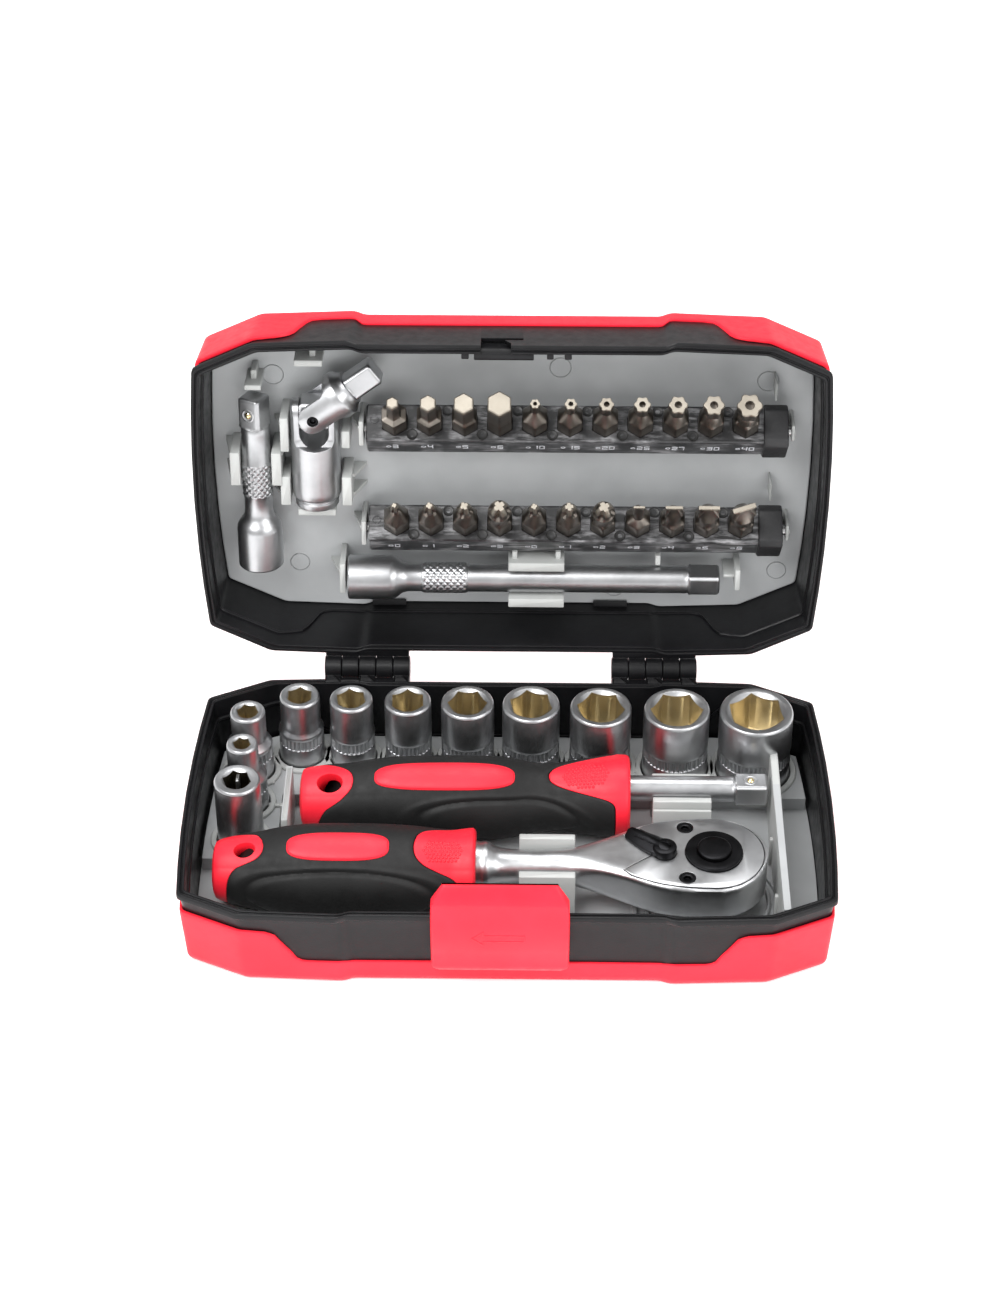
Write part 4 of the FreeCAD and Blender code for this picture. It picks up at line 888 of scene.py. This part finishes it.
for name, place, length, knurl, twist, facet in (
        ("short_extension", in_lid(SHORT_X, 20.5, TOOL_DEPTH) @ turn(90, "Z"), 50,
         (21.5, 31.0, 4.0, 13), -28, -28),
        ("long_extension", in_lid(-44.0, LONG_BACK, TOOL_DEPTH), 100, (20.2, 32.0, 4.1, 14), 13.5, 193.5)):
    node = "extension_%d" % length
    make(name + "_bar", bar_shape(length, *knurl, twist), "satin_chrome", name, place, replaces=[node])
    detent(length - 4.5, facet, name, name, node + "_ball", place)

rod = x_rings([(-38, 3.6), (28, 3.6), (31.0, 3.35), (57.2, 3.35), (57.8, 3.35), (58.3, 3.3), (58.75, 3.1)]
              + square_end(58.8, 0))
make("driver_rod", Shape().skin(rod), "satin_chrome", "driver", DRIVER_AT, replaces=["driver_shaft"])
make("driver_seat", seat(62.8), "satin_chrome", "driver", DRIVER_AT)


# --- universal joint ---------------------------------------------------------------------

JOINT_AT = in_lid(JOINT_X, 66.1, TOOL_DEPTH)
FORK_AT = JOINT_AT @ turn(-53, "Z")
SQUARE_AT = FORK_AT @ turn(90, "Z")


def paddle(half, foot):
    """What is cut away beside a fork's arm: straight, then round the pin."""
    wide = 6.9
    return [(half, foot + 2.2), (half + 0.7, foot + 0.8), (wide, foot), (wide + 6, foot), (wide + 6, 12),
            (0, 12)] + arc(0, 0, half, 90, 0, 9)


def both_ways(outline, reach, axis):
    return stack(outline, [(-reach, 0), (reach, 0)], axis)


barrel = lathe([(3.6, -27.0), (5.0, -27.0), (5.55, -26.8), (5.75, -26.4), (5.75, -25.1), (5.4, -24.8), (5.4, -24.4),
                (6.1, -24.0), (6.35, -23.4), (6.4, -22), (6.4, 1.4), (6.2, 2.6), (5.6, 3.6)], 96)
mouth = Shape().skin([[(x, y, z) for x, z in squircle(half, half, 14, 48)] for y, half in
                      ((-28, 4.0), (-27.0, 3.7), (-26.5, 3.22), (-17.5, 3.22))])
throat = both_ways([(3.9, 8), (-3.9, 8)] + arc(0, -4.7, 3.9, 180, 360, 16), 12, "z")
sides = [both_ways([(y, side * z) for z, y in paddle(3.7, -9.0)], 9, "x") for side in (-1, 1)]
pin_bore = lathe([(1.55, -12), (1.55, 12)], 32).placed(turn(90, "Y"))
make("joint_barrel", barrel.placed(turn(-90, "X")), "satin_chrome", "universal_socket", JOINT_AT, 40,
     ["joint_socket_yoke"], [throat, *sides, mouth, pin_bore])

fork = lathe([(5.2, -4.4), (6.2, -3.0), (6.3, 0), (6.35, 7.0), (6.3, 9.3), (6.05, 9.8), (5.2, 10.6), (4.7, 11.4),
              (4.5, 12.0), (3.4, 12.2)], 96)
gap = both_ways([(y, z) for z, y in [(4.0, -8), (4.0, 4.2)] + arc(0, 4.2, 4.0, 0, 180, 14)[1:] + [(-4.0, -8)]],
                9, "x")
cheeks = [both_ways([(side * x, -y) for x, y in paddle(3.8, -7.6)], 12, "z") for side in (-1, 1)]
make("joint_fork", fork.placed(turn(-90, "X")), "satin_chrome", "universal_drive", FORK_AT, 40,
     ["joint_drive_yoke"], [gap, *cheeks, lathe([(1.5, -12), (1.5, 12)], 32)])
make("joint_square", Shape().skin(x_rings([(11.6, 3.0)] + square_end(12.0, 0))), "satin_chrome",
     "universal_drive", SQUARE_AT)
detent(15.9, 180, "universal_drive", "joint_square", "joint_ball", SQUARE_AT)
pins = Shape()
end = lathe([(0.5, 0.9), (1.4, 0.9), (1.4, 5.65), (1.25, 5.85), (1.0, 5.9), (0.8, 5.8), (0.55, 5.1), (0.4, 5.0)], 32)
for direction in (turn(90, "Y"), BASE, turn(180, "X")):
    pins.merge(end, direction)
pins.merge(lathe([(1.25, -5.9), (1.4, -5.7), (1.4, 1.0), (0.5, 1.0)], 32), turn(90, "Y"))
make("joint_pin_ends", pins, "black_steel", "universal_centre", JOINT_AT, replaces=["joint_pins"],
     slot="plain_steel")


# --- trays -------------------------------------------------------------------------------

def ring_wall(x, y, inner, outer, low, high, steps=64):
    """A round collar with softened top edges."""
    return lathe([(inner, low), (inner, high - 0.3), (inner + 0.2, high), (outer - 0.25, high), (outer, high - 0.3),
                  (outer + 0.1, low)], steps, True).placed(shift(x, y, 0))


COLLAR_FOOT, COLLAR_TOP, FLOOR = 5.0, 8.5, 3.3
collars = Shape()
for _, x, back, width, _ in SOCKETS + [(0, ADAPTER_X, ADAPTER_BACK, ADAPTER_WIDTH, 0)]:
    radius = max(width, DRIVE_WIDTH) / 2 + 0.35
    collars.merge(ring_wall(x, back_to_y(back), radius, radius + 1.6, COLLAR_FOOT, COLLAR_TOP))
for (_, x0, back0, width0, _), (_, x1, back1, width1, _) in zip(SOCKETS, SOCKETS[1:7]):
    y = (back_to_y(back0) + back_to_y(back1)) / 2
    low, high = x1 + max(width1, DRIVE_WIDTH) / 2 + 1.0, x0 - max(width0, DRIVE_WIDTH) / 2 - 1.0
    for near, far in ((-4.2, -2.9), (1.6, 2.9)):
        collars.merge(block(low, high, y + near, y + far, COLLAR_FOOT, COLLAR_TOP - 0.2, 0.3))
for box in ((-66.4, -62.4, 21.5, 23.0), (-70.0, -68.6, 20.2, 21.6), (-70.0, -68.6, 6.2, 8.4),
            (-63.4, -59.2, 12.4, 13.8)):
    collars.merge(block(*box, COLLAR_FOOT, COLLAR_TOP - 0.2, 0.3))
# The raised collars and ribs take the tray's grey with painted light.
make("socket_collars", collars, "clip_grey", "base")

low_steps = joined([ring_wall(HEAD_X, RATCHET_Y, outer - 0.9, outer, 3.2, high, 96)
                    for outer, high in ((17.5, 4.5), (15.2, 5.2))]
                   + [block(31.5, 33.0, -38.5, -2.0, 3.2, 4.6, 0.3)]
                   + [block(-8.0, 31.0, y - 0.6, y + 0.6, 3.2, 5.0, 0.3) for y in (-10.4, -24.5)])
make("tray_steps", low_steps, "tray_grey", "base")

# The fence on the right with its ribs, the one behind the adapter, and the clips of the tools.
fence = rounded([(22.6, 3.4), (22.6, 20.6), (18.0, 21.6), (-36.0, 19.4), (-38.6, 14.0), (-38.6, 3.4)], 2.2, 6)
fences = stack(fence[::-1], [(68.2, 0.25), (68.4, 0), (70.0, 0), (70.2, 0.25)], "x")
for y in (18.5, -3.0, -24.0):
    fences.merge(block(67.4, 68.6, y - 0.7, y + 0.7, FLOOR, 12.5, 0.3))
fences.merge(block(-58.5, -56.7, -3.9, 17.1, 3.4, 18.0, 0.5, 0.4))
fences.merge(block(-59.6, -58.2, 6.0, 7.4, 3.4, 14.0, 0.3))
for x0, x1, y, near, far, high in (
        (2.9, 17.1, RATCHET_Y + 6.0, -1.0, 1.0, 20.3), (2.9, 17.1, RATCHET_Y - 6.0, -1.0, 1.35, 18.3),
        (37.4, 52.6, DRIVER_Y - 4.6, -1.0, 1.0, 17.3), (37.4, 52.6, DRIVER_Y + 4.7, -1.0, 1.0, 17.3),
        (37.4, 52.6, DRIVER_Y - 4.6, -2.4, -1.5, 15.4)):
    fences.merge(block(x0, x1, y + near, y + far, FLOOR, high, 0.3, 0.3))
make("tray_fences", fences, "clip_grey", "base")

lid_plate = Shape().skin([rim_ring(inset, z, 1) for inset, z in ((3.3, -22.2), (3.3, -21.05), (3.6, -20.8))])
for x, back, radius in ((-57.6, 16, 2.7), (-62.8, 72.4, 2.9), (12.6, 75, 2.9), (67, 71.5, 2.9), (72, 14.5, 2.7),
                        (28, 8.5, 2.6)):
    lid_plate.merge(ring_wall(x, back - HALF_DEPTH, radius - 0.22, radius, -21.0, -20.66, 40))
make("lid_tray_plate", lid_plate, "tray_grey", "lid", LID, replaces=["lid_tray"])

# Clips stand on the lid's tray: (x0, x1, back0, back1, depth of the top below the rim).
# Gussets lean on them: (x, back, reach along X, height).
RAIL_BACKS, FACE = (61.1, 31.4), -20.95
clips = [(SHORT_X - 2.2, SHORT_X + 2.2, 72.7, 74.2, 10.5), (SHORT_X - 0.8, SHORT_X + 0.8, 73.9, 76.6, 14.5),
         (JOINT_X - 9.0, JOINT_X - 6.8, 55.6, 65.4, 9.0), (JOINT_X + 6.9, JOINT_X + 9.1, 56.0, 61.0, 10.5),
         (JOINT_X - 5.0, JOINT_X + 5.0, 36.7, 38.6, 9.0), (JOINT_X - 4.8, JOINT_X + 2.6, 79.6, 81.4, 10.5),
         (JOINT_X - 0.9, JOINT_X + 0.7, 81.1, 84.6, 13.0), (-46.1, -44.5, 12.9, 21.9, 9.0),
         (57.0, 60.4, 17.0, 18.0, 12.0), (60.0, 61.5, 14.2, 20.4, 10.0), (38.6, 40.0, 20.6, 23.6, 12.0)]
gussets = [(JOINT_X - 8.8, 60.5, -2.6, 8.0), (-46.0, 17.4, -3.2, 8.0)]
for side in (-1, 1):
    x = SHORT_X + side * 5.45
    clips.append((x - 1.3, x + 1.3, 45.8, 55.4, 8.5))
    gussets += [(x + side * 1.2, back, side * 2.2, 9.5) for back in (47.0, 54.0)]
    x = JOINT_X + side * 8.1
    clips.append((x - 1.3, x + 1.3, 39.8, 48.2, 9.0))
    gussets += [(x + side * 1.2, back, side * 3.6, 7.5) for back in (41.0, 46.5)]
    back = LONG_BACK + side * 5.55
    clips.append((-0.8, 14.2, back - 1.3, back + 1.3, 8.0))
for x in (0.9, 12.5):
    clips += [(x - 0.7, x + 0.7, 23.0, 25.4, 10.5), (x - 0.7, x + 0.7, 7.6, 9.9, 12.5)]
for back in RAIL_BACKS:
    clips += [(-39.9, -38.6, back - 3.5, back + 3.5, 9.0), (72.9, 73.9, back - 2.2, back + 2.2, 10.9),
              (68.4, 68.9, back + 8.2, back + 13.2, 13.5)]
    gussets.append((-39.8, back, -2.8, 8.5))
lid_clips = joined([block(x0, x1, back0 - HALF_DEPTH, back1 - HALF_DEPTH, FACE, -deep, 0.35, 0.3)
                    for x0, x1, back0, back1, deep in clips])
for x, back, reach, tall in gussets:
    foot, top = FACE + 0.05, FACE + 0.05 + tall
    rib = stack([(0, foot), (reach, foot), (reach * 0.15, top), (0, top)], [(-0.5, 0), (0.5, 0)], "y")
    lid_clips.merge(rib, shift(x, back - HALF_DEPTH, 0))
# The lid's clips take the tray's grey with painted light.
make("lid_clips", lid_clips, "clip_grey", "lid", LID)

pads = joined([block(x - 4.6, x + 4.6, -42.9, -41.3 + row * 0.25, -20.9 + row * 0.5, -20.5 + row * 0.5, 0.2, 0.1)
               for x in (-33.5, 27.0) for row in range(3)])
make("lid_hinge_pads", pads, "block_black", "lid", LID)


def wall_bead(rim_z, facing, table):
    """The line of the coloured cover's edge, showing as a bead round the inside of a wall."""
    edge = edge_heights(table)
    return Shape().skin([rim_ring([2.06 - 0.053 * e + sink for e in edge], [rim_z + e + lift for e in edge], facing)
                         for sink, lift in ((-0.3, 0.55), (0.2, 0.5), (0.42, 0.2), (0.42, -0.2), (0.2, -0.5),
                                            (-0.3, -0.55))], loop=True)


make("base_wall_bead", wall_bead(CASE_HEIGHT, -1, BASE_EDGE), "case_black", "base")
make("lid_wall_bead", wall_bead(0, 1, LID_EDGE), "case_black", "lid", LID)


# --- bit rails ---------------------------------------------------------------------------

FIRST_BIT, PITCH, HALF_RAIL = -30.4, 9.1, 5.0
UPPER_AT, LOWER_AT = (in_lid(0, back, 12.5) @ turn(-45, "X") for back in RAIL_BACKS)


def chamfered(half, a, b, c, d):
    """A square outline with a cut at each corner, counterclockwise from the lower left."""
    return [(a - half, -half), (half - b, -half), (half, b - half), (half, half - c), (half - c, half),
            (d - half, half), (-half, half - d), (-half, a - half)]


def rail_shape():
    """The bar, and its end block with the second material."""
    bar = stack(chamfered(HALF_RAIL, 0.5, 0.5, 0.45, 0.45), [(-37.9, 0.35), (-37.55, 0), (65.6, 0)], "x")
    end = rounded(chamfered(6.0, 1.6, 1.6, 2.2, 1.4), 0.5, 3)
    return bar.merge(stack(end, [(65.4, 0.5), (65.6, 0.12), (65.9, 0), (71.3, 0), (71.65, 0.15), (71.8, 0.5)],
                           "x", 1))


def dimples():
    """Round sunk marks between the seats, alternately high and low: a rim and a dished floor."""
    dish = lathe([(radius, HALF_RAIL + z) for radius, z in
                  ((1.5, -0.37), (1.5, 0.08), (1.42, 0.15), (1.3, 0.15), (1.22, 0.06), (0.9, 0.01), (0.3, -0.01))], 32)
    shape = Shape()
    for number in range(10):
        shape.merge(dish, shift(FIRST_BIT + (number + 0.5) * PITCH, 3.3 if number % 2 else -3.3, 0))
    return shape


def outlined(outer, inner, foot, top, axis="z"):
    """A thin raised line between two outlines."""
    place = {"z": lambda a, b, h: (a, b, h), "y": lambda a, b, h: (a, -h, b)}[axis]
    return Shape().skin([[place(a, b, height) for a, b in outline] for outline, height in
                         ((outer, foot), (outer, top), (inner, top), (inner, foot))], loop=True)


# The strokes of plain seven-stroke digits, as ends in widths and half heights.
STROKES = {"a": (0, 2, 1, 2), "b": (1, 1, 1, 2), "c": (1, 0, 1, 1), "d": (0, 0, 1, 0), "e": (0, 0, 0, 1),
           "f": (0, 1, 0, 2), "g": (0, 1, 1, 1)}
DIGITS = ("abcdef", "bc", "abged", "abgcd", "fgbc", "afgcd", "afgedc", "abc", "abcdefg", "abcfgd")


def number_shape(text, wide=1.15, line=0.299):
    """A size number, flat on XY and 0.05 thick."""
    shape = Shape()
    for place, digit in enumerate(text):
        start = place * (wide + line * 2.2)
        for name in DIGITS[int(digit)]:
            a0, b0, a1, b1 = STROKES[name]
            x0, y0 = start + a0 * wide - line / 2, b0 * wide - line / 2
            x1, y1 = start + a1 * wide + line / 2, b1 * wide + line / 2
            shape.merge(prism([(x0, y0), (x1, y0), (x1, y1), (x0, y1)], -0.1, 0.05, 0.01))
    return shape


def rail_marks(labels, icons):
    """Size numbers and small icons on the rail's lower side, one pair under each bit."""
    shape = Shape()
    for number, (text, sides) in enumerate(zip(labels, icons)):
        x = FIRST_BIT + number * PITCH
        outline = [(x - 1.7 + p.x, p.y) for p in ring(polygon(sides, 0.62), 0, 24)]
        inner = [(x - 1.7 + p.x, p.y) for p in ring(polygon(sides, 0.62 * 0.68), 0, 24)]
        shape.merge(outlined(outline, inner, HALF_RAIL - 0.1, HALF_RAIL + 0.05, "y"))
        shape.merge(number_shape(text), shift(x - 0.5, -HALF_RAIL, -1.1) @ turn(90, "X"))
    return shape


seats = Shape()
for number in range(11):
    seats.merge(lathe([(polygon(6, 3.28), z) for z in (-4.0, 7.0)], 24), shift(FIRST_BIT + number * PITCH, 0, 0))
stadium = arc(-35.75, 0.6, 1.15, -90, 90, 10) + arc(-35.85, 0.6, 1.15, 90, 270, 10)
for side, place, labels, icons in (
        ("upper", UPPER_AT, ("3", "4", "5", "6", "10", "15", "20", "25", "27", "30", "40"), (6,) * 4 + (12,) * 7),
        ("lower", LOWER_AT, ("0", "1", "2", "3", "0", "1", "2", "3", "4", "5", "6"), (4,) * 7 + (24,) * 4)):
    rail = side + "_rail"
    make(rail + "_bar", rail_shape(), "rail_black block_black", rail, place, replaces=["bit_rail_" + side],
         cutters=[seats])
    make(rail + "_trim", outlined(stadium, offset(stadium, 0.28), HALF_RAIL - 0.2, HALF_RAIL + 0.14), "rail_black",
         rail, place)
    # The sunk dimples are painted darker than the rail: painted shade.
    make(rail + "_dimples", dimples(), "dimple_black", rail, place)
    make(rail + "_marks", rail_marks(labels, icons), "mark_white", rail, place)


# --- bits --------------------------------------------------------------------------------

TIP_Z = HALF_RAIL + 16.0
WAIST = TIP_Z - 9.0


def hexed(flat):
    """A hexagon with flats facing along Y and slightly rounded corners."""
    reach, corner = polygon(6, flat), flat / math.cos(math.pi / 6)
    return lambda angle: min(reach(angle), corner * 0.972)


def star(width):
    """A six-lobed outline."""
    return lambda angle: width / 2 * (0.91 + 0.09 * math.cos(6 * angle))


def crossed(width, wing, finer=0.0):
    """A four-winged outline, with a finer cross between the wings where asked."""
    def reach(angle):
        best = wing * 0.72
        for extra, size, span in ((0.0, width / 2, wing / 2), (45.0, finer, wing / 4)):
            local = (angle - math.radians(extra) + math.pi / 4) % (math.pi / 2) - math.pi / 4
            best = max(best, min(size, span / max(1e-6, abs(math.sin(local)))))
        return best
    return reach


def blade(width, thick):
    return lambda angle: min(width / 2 / max(1e-6, abs(math.cos(angle))), thick / 2 / max(1e-6, abs(math.sin(angle))),
                             math.hypot(width / 2, thick / 2))


# Each kind gives a tip's levels above the shank: (reach, z) or (reach, z, material index).

def hex_tip(across):
    flat = across / 2
    return [(hexed(min(3.1, flat + 0.35)), WAIST), (hexed(flat), WAIST + 0.7), (hexed(flat), TIP_Z - 1.5),
            (hexed(flat), TIP_Z - 0.5, 1), (hexed(flat - 0.09), TIP_Z - 0.2, 1), (hexed(flat - 0.35), TIP_Z, 1),
            (hexed(flat * 0.5), TIP_Z, 1)]


def star_tip(width):
    neck = width * 0.37
    return [(2.9, WAIST + 0.2), (neck + 0.5, WAIST + 2.6), (neck, WAIST + 3.6), (star(width * 0.94), WAIST + 4.6),
            (star(width), TIP_Z - 0.9), (star(width), TIP_Z - 0.3, 1), (star(width * 0.93), TIP_Z, 1),
            (width * 0.19, TIP_Z, 1), (width * 0.17, TIP_Z - 0.15), (width * 0.16, TIP_Z - 2.2)]


def cross_tip(width, finer):
    wing, fine = max(0.6, width * 0.27), width * 0.3 * finer
    return [(2.95, WAIST + 0.2), (width * 0.5 + 0.5, WAIST + 4.2), (crossed(width * 1.02, wing * 1.9), WAIST + 4.9),
            (crossed(width, wing * 1.2, fine), TIP_Z - 2.6),
            (crossed(width * 0.86, wing * 1.1, fine * 0.9), TIP_Z - 1.5, 1),
            (crossed(width * 0.66, wing, fine * 0.7), TIP_Z - 0.4, 1),
            (crossed(width * 0.56, wing * 0.95, fine * 0.6), TIP_Z, 1), (crossed(width * 0.25, wing * 0.4), TIP_Z, 1)]


def blade_tip(width, thick):
    stem = min(width / 2, 2.9)
    return [(3.0, WAIST), (stem, WAIST + 1.6), (stem, WAIST + 3.4), (blade(width, stem * 1.2), WAIST + 5.0),
            (blade(width, thick * 1.2), TIP_Z - 0.8), (blade(width, thick), TIP_Z - 0.08, 1),
            (blade(width - 0.1, thick * 0.9), TIP_Z, 1), (blade(width * 0.6, thick * 0.4), TIP_Z, 1)]


def bit(levels, tilt):
    """A bit about Z: its hexagonal shank, and the tip's levels turned by tilt."""
    shank = [(hexed(2.7), TIP_Z - 25), (hexed(3.175), TIP_Z - 24.4), (hexed(3.175), WAIST - 0.75),
             (hexed(3.1), WAIST - 0.5)]
    shape = Shape().skin([ring(reach, z) for reach, z, *slot in shank + levels],
                         [0] * 3 + [slot[0] if slot else 0 for reach, z, *slot in levels])
    shape.points = [turn(tilt * smooth((p.z - WAIST) / 2), "Z") @ p for p in shape.points]
    return shape


for kind, rail, place, first, bits in (
        ("hex", "upper_rail", UPPER_AT, 0, [(hex_tip(across), 0) for across in (3, 4, 5, 6)]),
        ("star", "upper_rail", UPPER_AT, 4, [(star_tip(w), 0) for w in (2.7, 3.3, 3.9, 4.4, 5.0, 5.5, 6.6)]),
        ("cross", "lower_rail", LOWER_AT, 0,
         [(cross_tip(w, 0), tilt) for w, tilt in ((2.2, 20), (3.0, 8), (3.6, 30), (5.0, 38))]),
        ("fine_cross", "lower_rail", LOWER_AT, 4,
         [(cross_tip(w, 1), tilt) for w, tilt in ((2.8, 15), (3.8, 8), (4.8, 30))]),
        ("slotted", "lower_rail", LOWER_AT, 7,
         [(blade_tip(w, thick), tilt) for w, thick, tilt in ((3.0, 0.6, 0), (4.5, 0.8, 0), (5.5, 1.0, 0),
                                                             (6.2, 1.2, 18))])):
    shape = Shape()
    for number, (levels, tilt) in enumerate(bits, first):
        shape.merge(bit(levels, tilt), shift(FIRST_BIT + number * PITCH, 0, 0))
    make(kind + "_bit_set", shape, "bit_steel bit_face", rail, place, replaces=[kind + "_bits"])


# --- stage -------------------------------------------------------------------------------

def stage():
    scene = bpy.context.scene
    scene.view_settings.view_transform = "Standard"
    world = bpy.data.worlds.new("studio")
    world.use_nodes = True
    background = world.node_tree.nodes["Background"]
    background.inputs["Color"].default_value = (1, 1, 1, 1)
    background.inputs["Strength"].default_value = 0.7
    scene.world = world

    mesh = bpy.data.meshes.new("floor")
    reach = 3.0
    mesh.from_pydata([(-reach, -reach, 0), (reach, -reach, 0), (reach, reach, 0), (-reach, reach, 0)],
                     [], [(0, 1, 2, 3)])
    floor = bpy.data.objects.new("floor", mesh)
    scene.collection.objects.link(floor)
    g = Graph("floor_white", Roughness=0.6, Emission_Color=(1, 1, 1, 1), Emission_Strength=0.3)
    g.fill(g.shader, {"Base Color": g.mix(g.noise(4, 2), (0.93, 0.93, 0.93), (0.96, 0.96, 0.96))})
    mesh.materials.append(g.material)

    for name, place, aim, size, power, glossy in (
            ("key", (-0.35, -0.35, 0.75), (0, 0.03, 0.04), (0.5, 0.5), 7.0, True),
            ("fill", (0.55, -0.4, 0.5), (0, 0.03, 0.04), (0.6, 0.4), 3.0, True),
            ("front", (0.05, -0.75, 0.22), (0, 0.06, 0.07), (0.7, 0.25), 3.2, False),
            ("top", (0.0, 0.25, 0.9), (0, 0.03, 0.04), (0.7, 0.3), 4.0, True)):
        light = bpy.data.lights.new(name, "AREA")
        light.shape = "RECTANGLE"
        light.size, light.size_y = size
        light.energy = power
        lamp = bpy.data.objects.new(name, light)
        lamp.location = place
        lamp.rotation_euler = (Vector(aim) - Vector(place)).to_track_quat("-Z", "Y").to_euler()
        lamp.visible_glossy = glossy
        scene.collection.objects.link(lamp)

    camera = bpy.data.cameras.new("camera")
    camera.sensor_width = 36.0
    camera.sensor_fit = "AUTO"
    camera.lens = 78.4
    camera.clip_end = 20
    holder = bpy.data.objects.new("camera", camera)
    target, distance = Vector((-2.8, 45.75, 34.7)), 754
    azimuth, elevation, roll = math.radians(0.85), math.radians(39.0), -0.06
    back = Vector((math.sin(azimuth) * math.cos(elevation),
                   -math.cos(azimuth) * math.cos(elevation), math.sin(elevation)))
    facing = (-back).to_track_quat("-Z", "Y").to_matrix().to_4x4()
    holder.matrix_world = Matrix.Translation((target + back * distance) * MM) @ facing @ turn(roll, "Z")
    scene.collection.objects.link(holder)
    scene.camera = holder


stage()
